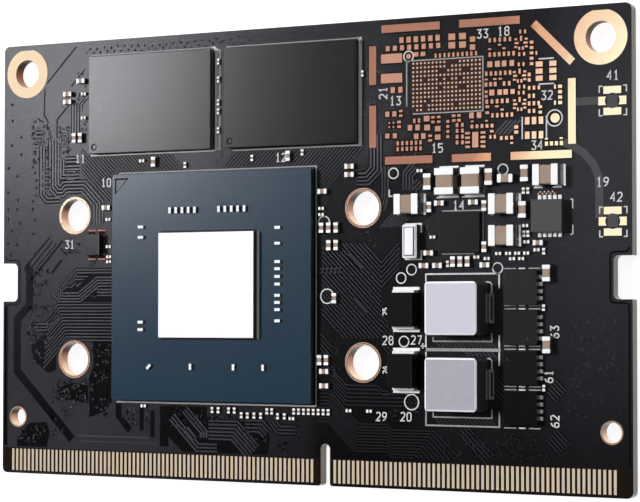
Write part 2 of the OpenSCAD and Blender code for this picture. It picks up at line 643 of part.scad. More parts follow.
// Four lands for one antenna socket, the long ones hollowed by the socket's round body
module socket_lands(at) difference() {
    for (s = [-1, 1]) {
        block(at + [0, s * 0.98], 1.7, 0.68, land_t, top_z);
        block(at + [s * 0.98, 0], 0.72, 0.78, land_t, top_z);
    }
    translate([at[0], at[1], top_z - overcut]) cylinder(d = 1.42, h = 2 * overcut);
}
module antenna_socket_lands() color(gold) {
    socket_lands([right_edge - 1.85, top_edge - 8.9]);
    socket_lands([right_edge - 1.85, top_edge - 19.9]);
}

// Processor: glass-fibre substrate on solder balls, with the bare die and its capacitors on top
substrate_z = top_z + processor_ball_h;
die_z = substrate_z + substrate_t;
die_at = processor_at + [die_shift_x, die_shift_y];
module processor_substrate() color([0.17, 0.24, 0.30])
    rounded_block(processor_at, processor_w, processor_w, substrate_t, substrate_r, substrate_z);
module processor_die() color([0.92, 0.93, 0.96]) block(die_at, die_w, die_h, die_t, die_z);
// Cured resin that slopes down from the die's walls to the substrate
underfill_top = 0.05;
module slope_profile(w) polygon([[-w / 2 - underfill_w, 0], [w / 2 + underfill_w, 0],
    [w / 2 + underfill_top, underfill_t], [-w / 2 - underfill_top, underfill_t]]);
module die_underfill() color([0.10, 0.12, 0.15]) difference() {
    translate([die_at[0], die_at[1], die_z]) intersection() {
        rotate([90, 0, 0]) linear_extrude(die_h + 2 * underfill_w, center = true) slope_profile(die_w);
        rotate([90, 0, 90]) linear_extrude(die_w + 2 * underfill_w, center = true) slope_profile(die_h);
    }
    block(die_at, die_w, die_h, die_t, die_z);
}
module processor_ball_grid() color(tin) {
    balls = floor((processor_w - processor_ball_pitch) / processor_ball_pitch);
    ball_grid(processor_at, balls, balls, processor_ball_pitch, processor_ball_pitch,
        processor_ball_h, top_z);
}
module processor_capacitor_bodies() color(ceramic_tan)
    at_spots(processor_spots, die_z) chip_body(tiny_len, tiny_w, tiny_w);
module processor_capacitor_ends() color(tin)
    at_spots(processor_spots, die_z) chip_ends(tiny_len, tiny_w, tiny_w);

// A moulded chip with a dimple in the corner of its top that the two signs name
module marked_chip(at, w, h, t, z, side_x, side_y) difference() {
    block(at, w, h, t, z);
    translate([at[0] + side_x * (w / 2 - pin_mark_inset), at[1] + side_y * (h / 2 - pin_mark_inset),
        z + t - pin_mark_depth]) cylinder(d = pin_mark_d, h = overcut);
}

// Two moulded memory chips on solder balls, which leave a strip along the middle free
memory_ball_columns = 20;
memory_ball_rows = 12;
memory_ball_strip = 0.7;
function memory_at(side) = [memory_x + side * memory_step / 2, memory_y];
module memory_chip(side) color(mould_black)
    marked_chip(memory_at(side), memory_w, memory_h, memory_t, top_z + memory_ball_h, -1, -1);
module memory_chip_left() memory_chip(-1);
module memory_chip_right() memory_chip(1);
module memory_ball_grid(side) color(tin)
    ball_grid(memory_at(side), memory_ball_columns, memory_ball_rows, memory_ball_pitch_x,
        memory_ball_pitch_y, memory_ball_h, top_z, memory_ball_strip);
module memory_ball_grid_left() memory_ball_grid(-1);
module memory_ball_grid_right() memory_ball_grid(1);

// Power manager chip on its ball grid
module power_manager_chip() color(mould_black)
    block(manager_chip_at, manager_w, manager_h, manager_t, top_z + manager_ball_h);
module power_manager_ball_grid() color(tin)
    ball_grid(manager_chip_at, 9, 8, manager_ball_pitch, manager_ball_pitch, manager_ball_h, top_z);

// Regulator with five flat pins on each of two sides
module regulator_chip() color(mould_black)
    block(regulator_at, regulator_w, regulator_w, regulator_t, top_z);
module regulator_pins() color(tin)
    for (side = [-1, 1], i = [-2:2])
        block(regulator_at + [i * regulator_pin_pitch, side * (regulator_w + regulator_pin_len) / 2],
            regulator_pin_w, regulator_pin_len, pin_t, top_z);

// Four switching transistors in a row, every other one turned half round, each with four short pins
module transistor(i, side) color(mould_black)
    marked_chip(transistor_top_at - [0, i * transistor_step], transistor_w, transistor_h, transistor_t,
        top_z, -side, side);
module transistor_1() transistor(0, 1);
module transistor_2() transistor(1, -1);
module transistor_3() transistor(2, 1);
module transistor_4() transistor(3, -1);
module transistor_pins() color(tin)
    for (i = [0:3], j = [-1.5:1.5])
        block(transistor_right + [transistor_pin_len / 2, j * transistor_pin_pitch - i * transistor_step],
            transistor_pin_len, transistor_pin_w, pin_t, top_z);

// Inductor: a pressed powder core with broken top edges and a flat lead folded up on two of its sides
module core_profile(w) polygon([[-w / 2, 0], [w / 2, 0], [w / 2, core_t - core_edge],
    [w / 2 - core_edge, core_t], [core_edge - w / 2, core_t], [-w / 2, core_t - core_edge]]);
module inductor(at) color([0.78, 0.78, 0.82]) translate([at[0], at[1], top_z]) intersection() {
    linear_extrude(core_t) rounded_rect(core_w, core_h, core_r);
    rotate([90, 0, 0]) linear_extrude(core_h, center = true) core_profile(core_w);
    rotate([90, 0, 90]) linear_extrude(core_w, center = true) core_profile(core_h);
}
module inductor_upper() inductor(core_upper_at);
module inductor_lower() inductor(core_lower_at);
module inductor_leads(at) color(tin) for (side = [-1, 1]) difference() {
    union() {
        block(at + [side * (core_w + lead_t) / 2, 0], lead_t, lead_w, lead_up, top_z);
        block(at + [side * (core_w + lead_foot) / 2, 0], lead_foot, lead_w, lead_t, top_z);
    }
    block(at + [side * (core_w + lead_t + lead_foot) / 2, 0],
        lead_slot_w, lead_w - 2 * lead_slot_end, 2 * lead_t, top_z - lead_t / 2);
}
module inductor_leads_upper() inductor_leads(core_upper_at);
module inductor_leads_lower() inductor_leads(core_lower_at);

// Moulded capacitor with drafted sides, whose leads leave its ends and fold down to the board
module bulk_capacitor(at) color(mould_black) translate([at[0], at[1], top_z])
    rotate([90, 0, 0]) linear_extrude(bulk_h, center = true)
        polygon([[-bulk_w / 2, 0], [bulk_w / 2, 0], [bulk_w / 2, bulk_t / 2],
            [bulk_w / 2 - bulk_draft, bulk_t], [bulk_draft - bulk_w / 2, bulk_t],
            [-bulk_w / 2, bulk_t / 2]]);
module bulk_capacitor_upper() bulk_capacitor(bulk_upper_at);
module bulk_capacitor_lower() bulk_capacitor(bulk_lower_at);
module bulk_capacitor_leads(at) color(tin) for (side = [-1, 1]) {
    block(at + [0, side * (bulk_h + bulk_lead_t) / 2], bulk_lead_w, bulk_lead_t, bulk_t / 2, top_z);
    block(at + [0, side * (bulk_h + bulk_lead_t + bulk_lead) / 2],
        bulk_w, bulk_lead - bulk_lead_t, lead_t, top_z);
}
module bulk_capacitor_leads_upper() bulk_capacitor_leads(bulk_upper_at);
module bulk_capacitor_leads_lower() bulk_capacitor_leads(bulk_lower_at);

// Oscillator can on four corner pads that reach under it and stand out past its ends
oscillator_pad_w = 0.9;
oscillator_pad_gap = 0.3;
oscillator_pad_out = 0.45;
oscillator_pad_under = 0.2;
module oscillator_can() color(mould_black)
    block(oscillator_at, oscillator_w, oscillator_h, oscillator_t, top_z + land_t);
module oscillator_pads() color(copper) for (x = [-1, 1], y = [-1, 1])
    block(oscillator_at + [x * (oscillator_pad_w + oscillator_pad_gap) / 2,
        y * (oscillator_h + oscillator_pad_out - oscillator_pad_under) / 2],
        oscillator_pad_w, oscillator_pad_out + oscillator_pad_under, land_t, top_z);

// Tuning crystal: a ceramic base with a domed metal lid, on a pad at each end
crystal_pad_len = 0.9;
crystal_pad_out = 0.15;
crystal_r = 0.15;
crystal_rim = 0.1;
crystal_step = 0.15;
module crystal_base() color([0.85, 0.85, 0.87])
    rounded_block(crystal_at, crystal_w, crystal_h, crystal_base_t, crystal_r, top_z + land_t);
module lid_step(inset, t) rounded_block(crystal_at, crystal_w - 2 * inset, crystal_h - 2 * inset, t,
    crystal_r, top_z + land_t + crystal_base_t);
module crystal_lid() color([0.92, 0.92, 0.94]) {
    lid_step(crystal_rim, crystal_lid_t / 2);
    lid_step(crystal_rim + crystal_step, crystal_lid_t);
}
module crystal_pads() color(tin) for (y = [-1, 1])
    block(crystal_at + [0, y * (crystal_h / 2 + crystal_pad_out - crystal_pad_len / 2)],
        crystal_w + 2 * crystal_pad_out, crystal_pad_len, land_t, top_z);

// Ceramic chip capacitors in four sizes
module large_capacitor_bodies() color(ceramic_tan)
    at_spots(large_spots, top_z) chip_body(large_len, large_w, large_t);
module large_capacitor_ends() color(tin)
    at_spots(large_spots, top_z) chip_ends(large_len, large_w, large_t);
module medium_capacitor_bodies() color(ceramic_tan)
    at_spots(medium_spots, top_z) chip_body(medium_len, medium_w, medium_w);
module medium_capacitor_ends() color(tin)
    at_spots(medium_spots, top_z) chip_ends(medium_len, medium_w, medium_w);
module small_capacitor_bodies() color(ceramic_tan)
    at_spots(small_spots, top_z) chip_body(small_len, small_w, small_w);
module small_capacitor_ends() color(tin)
    at_spots(small_spots, top_z) chip_ends(small_len, small_w, small_w);
module tiny_part_bodies() color(ceramic_tan)
    at_spots(tiny_spots, top_z) chip_body(tiny_len, tiny_w, tiny_w);
module tiny_part_ends() color(tin)
    at_spots(tiny_spots, top_z) chip_ends(tiny_len, tiny_w, tiny_w);

// Underside: flash chip on its ball grid, and capacitors under the processor and behind the contacts
flash_ball_count = 14;
flash_ball_pitch = 0.6;
flash_ball_strip = 1;
module flash_chip() color(mould_black) block(flash_at, flash_w, flash_h, flash_t);
module flash_ball_grid() color(tin)
    ball_grid(flash_at, flash_ball_count, flash_ball_count, flash_ball_pitch, flash_ball_pitch,
        flash_ball_h, flash_t, flash_ball_strip);
module underside_capacitor_bodies() color(ceramic_tan)
    at_spots(underside_spots, under_z - small_w) chip_body(small_len, small_w, small_w);
module underside_capacitor_ends() color(tin)
    at_spots(underside_spots, under_z - small_w) chip_ends(small_len, small_w, small_w);

circuit_board();
long_contact_row_top();
short_contact_row_top();
long_contact_row_underside();
short_contact_row_underside();
corner_hole_plating();
cooler_hole_plating();
guide_hole_plating();
shield_frame_lands();
radio_chip_lands();
radio_part_lands();
antenna_socket_lands();
processor_substrate();
processor_die();
die_underfill();
processor_ball_grid();
processor_capacitor_bodies();
processor_capacitor_ends();
memory_chip_left();
memory_chip_right();
memory_ball_grid_left();
memory_ball_grid_right();
power_manager_chip();
power_manager_ball_grid();
regulator_chip();
regulator_pins();
transistor_1();
transistor_2();
transistor_3();
transistor_4();
transistor_pins();
inductor_upper();
inductor_lower();
inductor_leads_upper();
inductor_leads_lower();
bulk_capacitor_upper();
bulk_capacitor_lower();
bulk_capacitor_leads_upper();
bulk_capacitor_leads_lower();
oscillator_can();
oscillator_pads();
crystal_base();
crystal_lid();
crystal_pads();
large_capacitor_bodies();
large_capacitor_ends();
medium_capacitor_bodies();
medium_capacitor_ends();
small_capacitor_bodies();
small_capacitor_ends();
tiny_part_bodies();
tiny_part_ends();
flash_chip();
flash_ball_grid();
underside_capacitor_bodies();
underside_capacitor_ends();
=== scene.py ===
import math
import random

import bmesh
import bpy
from mathutils import Matrix, Vector


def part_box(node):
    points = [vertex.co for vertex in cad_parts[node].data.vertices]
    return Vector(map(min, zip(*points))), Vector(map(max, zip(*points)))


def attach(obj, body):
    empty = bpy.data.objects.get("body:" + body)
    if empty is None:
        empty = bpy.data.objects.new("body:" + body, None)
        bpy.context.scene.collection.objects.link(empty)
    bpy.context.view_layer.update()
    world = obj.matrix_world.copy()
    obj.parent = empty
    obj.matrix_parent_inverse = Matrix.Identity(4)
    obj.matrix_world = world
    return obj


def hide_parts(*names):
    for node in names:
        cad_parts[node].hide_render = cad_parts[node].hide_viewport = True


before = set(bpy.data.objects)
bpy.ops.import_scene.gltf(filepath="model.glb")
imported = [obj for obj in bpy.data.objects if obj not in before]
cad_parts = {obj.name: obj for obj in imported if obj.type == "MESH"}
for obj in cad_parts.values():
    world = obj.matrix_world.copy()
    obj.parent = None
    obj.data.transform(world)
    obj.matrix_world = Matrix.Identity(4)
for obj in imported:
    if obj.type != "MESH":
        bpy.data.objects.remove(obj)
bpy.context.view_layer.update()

# Studio
# The module lies on a white table top, and the camera looks down on it from the right.
# A key light from the left throws short shadows, and a lamp lays a sheen on the upper left corner.
scene = bpy.context.scene
scene.view_settings.view_transform = "Standard"

camera_data = bpy.data.cameras.new("camera")
camera_data.sensor_width = 36
camera_data.lens = 116.95
camera_data.clip_start = 0.01
camera = bpy.data.objects.new("camera", camera_data)
camera.location = (0.09653, -0.00617, 0.18177)
camera.rotation_euler = [math.radians(angle) for angle in (1.854, 27.511, 0.046)]
scene.collection.objects.link(camera)
scene.camera = camera


def soft_light(name, direction, distance, width, height, radiance, mirrored=True, spread=True,
               tint=(1, 1, 1)):
    """A flat light that faces the module, and that glossy or matt faces may or may not show."""
    data = bpy.data.lights.new(name, "AREA")
    data.shape = "RECTANGLE"
    data.size = width
    data.size_y = height
    data.energy = radiance * math.pi * width * height
    data.color = tint
    light = bpy.data.objects.new(name, data)
    way = Vector(direction).normalized()
    light.location = way * distance
    light.rotation_euler = (-way).to_track_quat("-Z", "Y").to_euler()
    light.visible_camera = False
    light.visible_glossy = mirrored
    light.visible_diffuse = spread
    scene.collection.objects.link(light)


soft_light("key_light", (-0.50, 0.14, 0.85), 0.8, 0.2, 0.2, 62.0, mirrored=False)
soft_light("corner_lamp", (-0.375, 0.095, 0.5), 0.632, 0.09, 0.09, 8.8, tint=(0.965, 0.955, 1.0))
soft_light("rear_panel", (0.16, 0.40, 0.90), 0.8, 0.6, 0.34, 2.2)
soft_light("left_panel", (-0.86, -0.10, 0.30), 0.8, 0.4, 0.3, 1.2)
soft_light("back_panel", (0.05, 0.93, 0.35), 0.8, 0.6, 0.3, 1.6)
soft_light("right_panel", (0.83, 0.0, 0.55), 0.8, 0.6, 0.3, 5.0, spread=False)


class Wire:
    """An output in a node tree: sums on it add Math nodes, and add() adds any other node."""

    def __init__(self, tree, output=None):
        self.tree = tree
        self.output = output

    def add(self, kind, settings=None, sockets=None, output=0):
        node = self.tree.nodes.new("ShaderNode" + kind)
        for name, value in (settings or {}).items():
            if name == "stops":
                for stop in value[2:]:
                    node.color_ramp.elements.new(0.5)
                for element, (place, colour) in zip(node.color_ramp.elements, value):
                    element.position = place
                    element.color = colour
            else:
                setattr(node, name, value)
        self.plug(node, sockets or {})
        return Wire(self.tree, node.outputs[output])

    def plug(self, node, sockets):
        for name, value in sockets.items():
            if isinstance(value, Wire):
                self.tree.links.new(value.output, node.inputs[name])
            else:
                node.inputs[name].default_value = value

    def math(self, operation, *values):
        return self.add("Math", {"operation": operation}, dict(enumerate(values)))

    def __add__(self, other):
        return self.math("ADD", self, other)

    def __sub__(self, other):
        return self.math("SUBTRACT", self, other)

    def __rsub__(self, other):
        return self.math("SUBTRACT", other, self)

    def __mul__(self, other):
        return self.math("MULTIPLY", self, other)

    def __gt__(self, other):
        return self.math("GREATER_THAN", self, other)

    __radd__ = __add__
    __rmul__ = __mul__


scene.world = bpy.data.worlds.new("room")
scene.world.use_nodes = True
room = Wire(scene.world.node_tree)
room_way = room.add("TexCoord")
room_light = room.add("ValToRGB", {"stops": [
    (0.0, (0.40, 0.40, 0.41, 1)), (0.3, (0.15, 0.15, 0.16, 1)), (0.8, (0.04, 0.04, 0.05, 1))
]}, {0: room.add("SeparateXYZ", {}, {0: room_way}, output=2)})
room_side = room.add("MapRange", {}, {
    0: room.add("SeparateXYZ", {}, {0: room_way}, output=0), 1: -0.3, 2: 0.5, 3: 1.0, 4: 0.2})
room.plug(scene.world.node_tree.nodes["Background"], {"Color": room_light, "Strength": room_side})


def finish(name, recipe):
    """A material whose shader sockets are what its recipe gives."""
    material = bpy.data.materials.new(name)
    material.use_nodes = True
    wire = Wire(material.node_tree)
    wire.plug(material.node_tree.nodes["Principled BSDF"], recipe(wire))
    return material


def table_top(wire):
    return {
        "Base Color": (0.3, 0.3, 0.3, 1), "Roughness": 0.7,
        "Emission Color": (1, 1, 1, 1), "Emission Strength": 0.9,
    }


bm = bmesh.new()
bmesh.ops.create_grid(bm, x_segments=1, y_segments=1, size=1.5)
bmesh.ops.translate(bm, verts=bm.verts, vec=(0, 0, -0.00005))
floor_mesh = bpy.data.meshes.new("table_top")
bm.to_mesh(floor_mesh)
bm.free()
floor_mesh.materials.append(finish("table_top", table_top))
table = bpy.data.objects.new("table_top", floor_mesh)
table.visible_diffuse = False
scene.collection.objects.link(table)

# Circuit board
# Pressed glass-fibre laminate, printed all over with a black solder mask that has a half-gloss skin.
# It is cut to shape by a router, which leaves the pale fibre layers bare along the edges.
def spot_in_mm(wire):
    place = wire.add("TexCoord", output=3)
    return wire.add("VectorMath", {"operation": "SCALE"}, {0: place, "Scale": 1000})


def coordinate(wire, vector, axis):
    return wire.add("SeparateXYZ", {}, {0: vector}, output=axis)


def noise(wire, spot, scale, detail):
    return wire.add("TexNoise", {}, {"Vector": spot, "Scale": scale, "Detail": detail})


def blend(wire, share, first, second):
    return wire.add("Mix", {"data_type": "RGBA"}, {0: share, 6: first, 7: second}, output=2)


def span(wire, value, low, high):
    return wire.add("MapRange", {}, {0: value, 1: low, 2: high})


def relief(wire, height, strength, depth):
    return wire.add("Bump", {}, {"Strength": strength, "Distance": depth, "Height": height})


def mottled(dark, light, clouds, rough, bumps, fixed=None):
    """A recipe that noise varies: clouds, rough and bumps each end with the noise's scale and detail."""
    least, swing, *rough_noise = rough
    strength, depth, *bump_noise = bumps

    def recipe(wire):
        spot = spot_in_mm(wire)
        return {
            "Base Color": blend(wire, noise(wire, spot, *clouds), (*dark, 1), (*light, 1)),
            "Roughness": least + swing * noise(wire, spot, *rough_noise),
            "Normal": relief(wire, noise(wire, spot, *bump_noise), strength, depth),
            **(fixed or {}),
        }
    return recipe


def facing_up(wire):
    """One where a face lies flat, up or down, and zero on upright walls."""
    up = coordinate(wire, wire.add("NewGeometry", output=1), 2)
    return up * up > 0.5


def painted_right_shading(wire, across, along, strength, shadow):
    """Painted light and shade on the mask right of the middle: darker towards the bottom, painted shade by
    the processor, pale beside the antenna sockets.
    """
    ramp = wire.add("ValToRGB", {"stops": [
        (0.0, (0.0042, 0.0042, 0.005, 1)), (0.25, (0.0108, 0.0108, 0.0127, 1)),
        (0.5, (0.0180, 0.0178, 0.021, 1)), (0.75, (0.0215, 0.0212, 0.0245, 1)),
        (1.0, (0.0145, 0.0143, 0.017, 1))
    ]}, {0: span(wire, along, -20.0, 21.0)})
    shaded = span(wire, across, 1.0, 3.0) * span(wire, across, 16.0, 12.0) * span(wire, along, 10.0, 7.0)
    lit = strength * (1.0 - shadow * shaded)
    return wire.add("VectorMath", {"operation": "SCALE"}, {0: ramp, "Scale": lit})


def solder_mask(wire):
    spot = spot_in_mm(wire)
    cloud = noise(wire, spot, 0.35, 3)
    across = coordinate(wire, spot, 0)
    along = coordinate(wire, spot, 1)
    stretched = wire.add("VectorMath", {"operation": "MULTIPLY"}, {0: spot, 1: (0.5, 6.0, 1.0)})
    weave = noise(wire, stretched, 1.0, 2)
    # The skin holds painted light and shade: paler on the left and towards the right edge, darker towards
    # the bottom and right of the processor. It is also darker over the radio section.
    left = blend(wire, cloud, (0.017, 0.016, 0.020, 1), (0.025, 0.024, 0.029, 1))
    radio = span(wire, across, 10.0, 13.0) * span(wire, across, 28.5, 26.5) * span(wire, along, 5.5, 7.5)
    painted_right_edge_light = span(wire, across, 24.0, 31.0)
    strength = 0.55 - 0.3 * radio + 0.3 * cloud + 0.5 * noise(wire, spot, 2.2, 4) + 0.35 * painted_right_edge_light
    right = painted_right_shading(wire, across, along + 4.0 * (weave - 0.5), strength, 0.68)
    skin = blend(wire, span(wire, across + 6.0 * (weave - 0.5), -22.0, 4.0), left, right)
    layers = wire.math("SINE", coordinate(wire, spot, 2) * 26.0)
    fibre = noise(wire, spot, 6.0, 4)
    edge = blend(wire, span(wire, layers + fibre, -0.4, 1.6),
                 (0.25, 0.205, 0.155, 1), (0.54, 0.48, 0.39, 1))
    return {
        "Base Color": blend(wire, facing_up(wire), edge, skin),
        "Roughness": 0.17 + 0.07 * noise(wire, spot, 3.0, 3),
        "Specular IOR Level": 0.43,
        "Normal": relief(wire, weave + 0.3 * noise(wire, spot, 7.0, 3), 0.22, 0.00001),
    }


def dress(node, material):
    """Gives a CAD node its material."""
    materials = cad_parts[node].data.materials
    materials.clear()
    materials.append(material)


def box_of(node):
    """The low and high corners of a CAD node in millimetres."""
    return [corner * 1000 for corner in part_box(node)]


dress("circuit_board", finish("solder_mask", solder_mask))
board_low, board_high = box_of("circuit_board")
top_z = board_high.z
under_z = board_low.z

# Traces under the mask
# Etched copper tracks that the mask covers, so they stand up as low ridges between darker gaps.
# They fan out from the processor to the memory, the contacts and the power parts in tight bundles.
trace_height = 0.03
trace_slope = 0.03
gap_height = 0.007
sunk = 0.004
hole_clearance = 0.15
sample_step = 0.1


def mitred(path, offset, closed=False):
    """A path in millimetres moved sideways by an offset, with its corners kept sharp."""
    points = [Vector(point) for point in path]
    last = len(points) - 1
    moved = []
    for i, point in enumerate(points):
        ways = []
        if closed or i > 0:
            ways.append((point - points[i - 1]).normalized())
        if closed or i < last:
            ways.append((points[(i + 1) % (last + 1)] - point).normalized())
        way = sum(ways, Vector((0, 0))).normalized()
        moved.append(point + Vector((-way.y, way.x)) * offset / max(way.dot(ways[0]), 0.4))
    return moved


def ring(x, y, radius, count):
    """The corners of a round closed path."""
    return [(x + radius * math.cos(math.tau * i / count), y + radius * math.sin(math.tau * i / count))
            for i in range(count)]


def ribbon(target, path, width, low, high, closed=False, slope=0.0):
    """A flat strip along a path, from one height to another, whose top may be narrower than its foot."""
    strip = bmesh.new()
    rims = list(zip(mitred(path, width / 2, closed), mitred(path, -width / 2, closed)))
    tops = list(zip(mitred(path, width / 2 - slope, closed), mitred(path, slope - width / 2, closed)))
    start = [strip.verts.new((*point, low)) for point in rims[0]]
    edge = strip.edges.new(start)
    ladder = [start]
    for rim in rims[1:]:
        made = bmesh.ops.extrude_edge_only(strip, edges=[edge])["geom"]
        edge = next(item for item in made if isinstance(item, bmesh.types.BMEdge))
        ends = sorted(edge.verts, key=lambda vert: (vert.co - ladder[-1][0].co).length)
        for vert, point in zip(ends, rim):
            vert.co = (*point, low)
        ladder.append(ends)
    if closed:
        strip.faces.new((*ladder[-1], *reversed(ladder[0])))
    spots = {}
    for pair, tip in zip(ladder, tops):
        for vert, point in zip(pair, tip):
            spots[(round(vert.co.x, 5), round(vert.co.y, 5))] = point
    raised = bmesh.ops.extrude_face_region(strip, geom=strip.faces[:])["geom"]
    for item in raised:
        if isinstance(item, bmesh.types.BMVert):
            item.co = (*spots[(round(item.co.x, 5), round(item.co.y, 5))], high)
    stamp(target, strip)


def stamp(target, source, matrix=Matrix()):
    """Adds a small mesh to a larger one, moved by a matrix, and frees the small one."""
    mesh = bpy.data.meshes.new("stamp")
    source.to_mesh(mesh)
    source.free()
    mesh.transform(matrix)
    target.from_mesh(mesh)
    bpy.data.meshes.remove(mesh)


def piece(name, bm, materials, slot, *nodes):
    """Makes an object from a mesh in millimetres, and ties it to the frame."""
    bmesh.ops.recalc_face_normals(bm, faces=bm.faces)
    bmesh.ops.scale(bm, vec=(0.001, 0.001, 0.001), verts=bm.verts)
    mesh = bpy.data.meshes.new(name)
    bm.to_mesh(mesh)
    bm.free()
    for material in materials:
        mesh.materials.append(material)
    made = bpy.data.objects.new(name, mesh)
    scene.collection.objects.link(made)
    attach(made, "root")
    if nodes:
        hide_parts(*nodes)
    return made


def islands(node):
    """The box of each separate solid in a CAD node, as low and high corners in millimetres."""
    bm = bmesh.new()
    bm.from_mesh(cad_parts[node].data)
    bmesh.ops.remove_doubles(bm, verts=bm.verts, dist=1e-7)
    boxes = []
    seen = set()
    for seed in bm.verts:
        if seed in seen:
            continue
        seen.add(seed)
        group = [seed]
        for vert in group:
            for edge in vert.link_edges:
                other = edge.other_vert(vert)
                if other not in seen:
                    seen.add(other)
                    group.append(other)
        low = Vector([min(vert.co[i] for vert in group) for i in range(3)]) * 1000
        high = Vector([max(vert.co[i] for vert in group) for i in range(3)]) * 1000
        boxes.append((low, high))
    bm.free()
    return boxes


plated_holes = []
for node in ("corner_hole_plating", "cooler_hole_plating", "guide_hole_plating"):
    for low, high in islands(node):
        plated_holes.append((((low + high) / 2).xy, (high.x - low.x) / 2 + hole_clearance))


def at_hole(spot, spare=0.0):
    return any((spot - middle).length < reach + spare for middle, reach in plated_holes)


def off_holes(path, width):
    """The parts of a path that keep clear of the plated holes."""
    spare = max(0.0, width / 2 - hole_clearance)
    runs = [[]]
    for start, end in zip(path, path[1:]):
        way = Vector(end) - Vector(start)
        count = math.ceil(way.length / sample_step)
        for i in range(count):
            spot = Vector(start) + way * i / count
            if at_hole(spot, spare):
                runs.append([])
            else:
                runs[-1].append(spot)
    if not at_hole(Vector(path[-1]), spare):
        runs[-1].append(Vector(path[-1]))
    corners = [Vector(point) for point in path]
    return [[spot for i, spot in enumerate(run) if i in (0, len(run) - 1) or spot in corners]
            for run in runs if len(run) > 1]


traces = {1: bmesh.new(), -1: bmesh.new()}
gaps = {1: bmesh.new(), -1: bmesh.new()}
faces = {1: top_z, -1: under_z}


def track(path, width=0.17, side=1):
    for part in off_holes(path, width):
        ribbon(traces[side], part, width, faces[side] - side * sunk, faces[side] + side * trace_height,
               slope=trace_slope)


def gap(path, width, side=1):
    for part in off_holes(path, width):
        ribbon(gaps[side], part, width, faces[side] - side * sunk, faces[side] + side * gap_height)


def lined(path, width, ground, side=1):
    """A track with the dark gap that sets it off from its neighbours."""
    gap(path, ground, side)
    track(path, width, side)


def bundle(path, count, pitch, side=1):
    """Parallel tracks along one path, on the dark field that the gaps between them make."""
    gap(path, count * pitch + 0.1, side)
    for i in range(count):
        track(mitred(path, (i - (count - 1) / 2) * pitch), pitch * 0.6, side)


def field(points):
    """A dark area without copper, given by its corners."""
    sheet = bmesh.new()
    floor = sheet.faces.new([sheet.verts.new((*point, top_z - sunk)) for point in points])
    raised = bmesh.ops.extrude_face_region(sheet, geom=[floor])["geom"]
    corners = [item for item in raised if isinstance(item, bmesh.types.BMVert)]
    bmesh.ops.translate(sheet, verts=corners, vec=(0, 0, sunk + 0.7 * gap_height))
    stamp(gaps[1], sheet)


slant_pitch = 0.43
cooler_pitch = 0.47

# Tracks that slant from the left memory chip down to the processor
for i in range(29):
    level = -15.9 + slant_pitch * i
    start = (-25.0, level + 25.0) if level < -13.7 else (level - 10.7, 10.7)
    end = (-21.2, level + 21.2) if level < -12.7 else (level - 8.5, 8.5)
    lined([start, end], 0.16, 0.32)

# Tracks that slant from the right memory chip down to the processor, and past its right side
for i in range(25):
    level = 16.9 - slant_pitch * i
    lined([(8.7 - level, 8.7), (10.4 - level, 10.4)], 0.16, 0.32)
for i in range(9):
    level = 6.2 - slant_pitch * i
    height = 8.4 - 0.3 * i
    path = [(height - level, height), (10.4 - level, 10.4)]
    if height - level > 3.0:
        path.insert(0, (2.9, height))
    lined(path, 0.15, 0.3)

# Dark areas round the clusters of short tracks
for points in [
    [(-27.6, -3.6), (-25.6, -1.6), (-21.1, -1.3), (-21.1, -4.6), (-27.9, -4.6)],
    [(-31.2, -9.4), (-29.7, -7.8), (-28.0, -8.6), (-28.0, -11.6), (-29.0, -12.0), (-30.9, -10.7)],
    [(-23.5, -8.6), (-21.1, -8.4), (-21.1, -14.8), (-22.0, -15.8), (-23.9, -16.5), (-23.9, -12.3),
     (-23.4, -11.2)],
    [(-27.9, -13.5), (-25.8, -12.9), (-24.0, -13.2), (-24.0, -15.0), (-27.4, -14.6)],
    [(-32.9, -18.9), (-31.3, -17.2), (-29.2, -17.1), (-28.8, -18.2), (-29.2, -19.7), (-33.0, -19.7)],
    [(-14.4, -15.1), (-9.8, -15.1), (-9.8, -16.0), (-6.2, -16.5), (-2.8, -16.4), (-2.6, -18.2),
     (-2.9, -19.7), (-12.6, -19.7), (-15.4, -17.2)],
]:
    field(points)

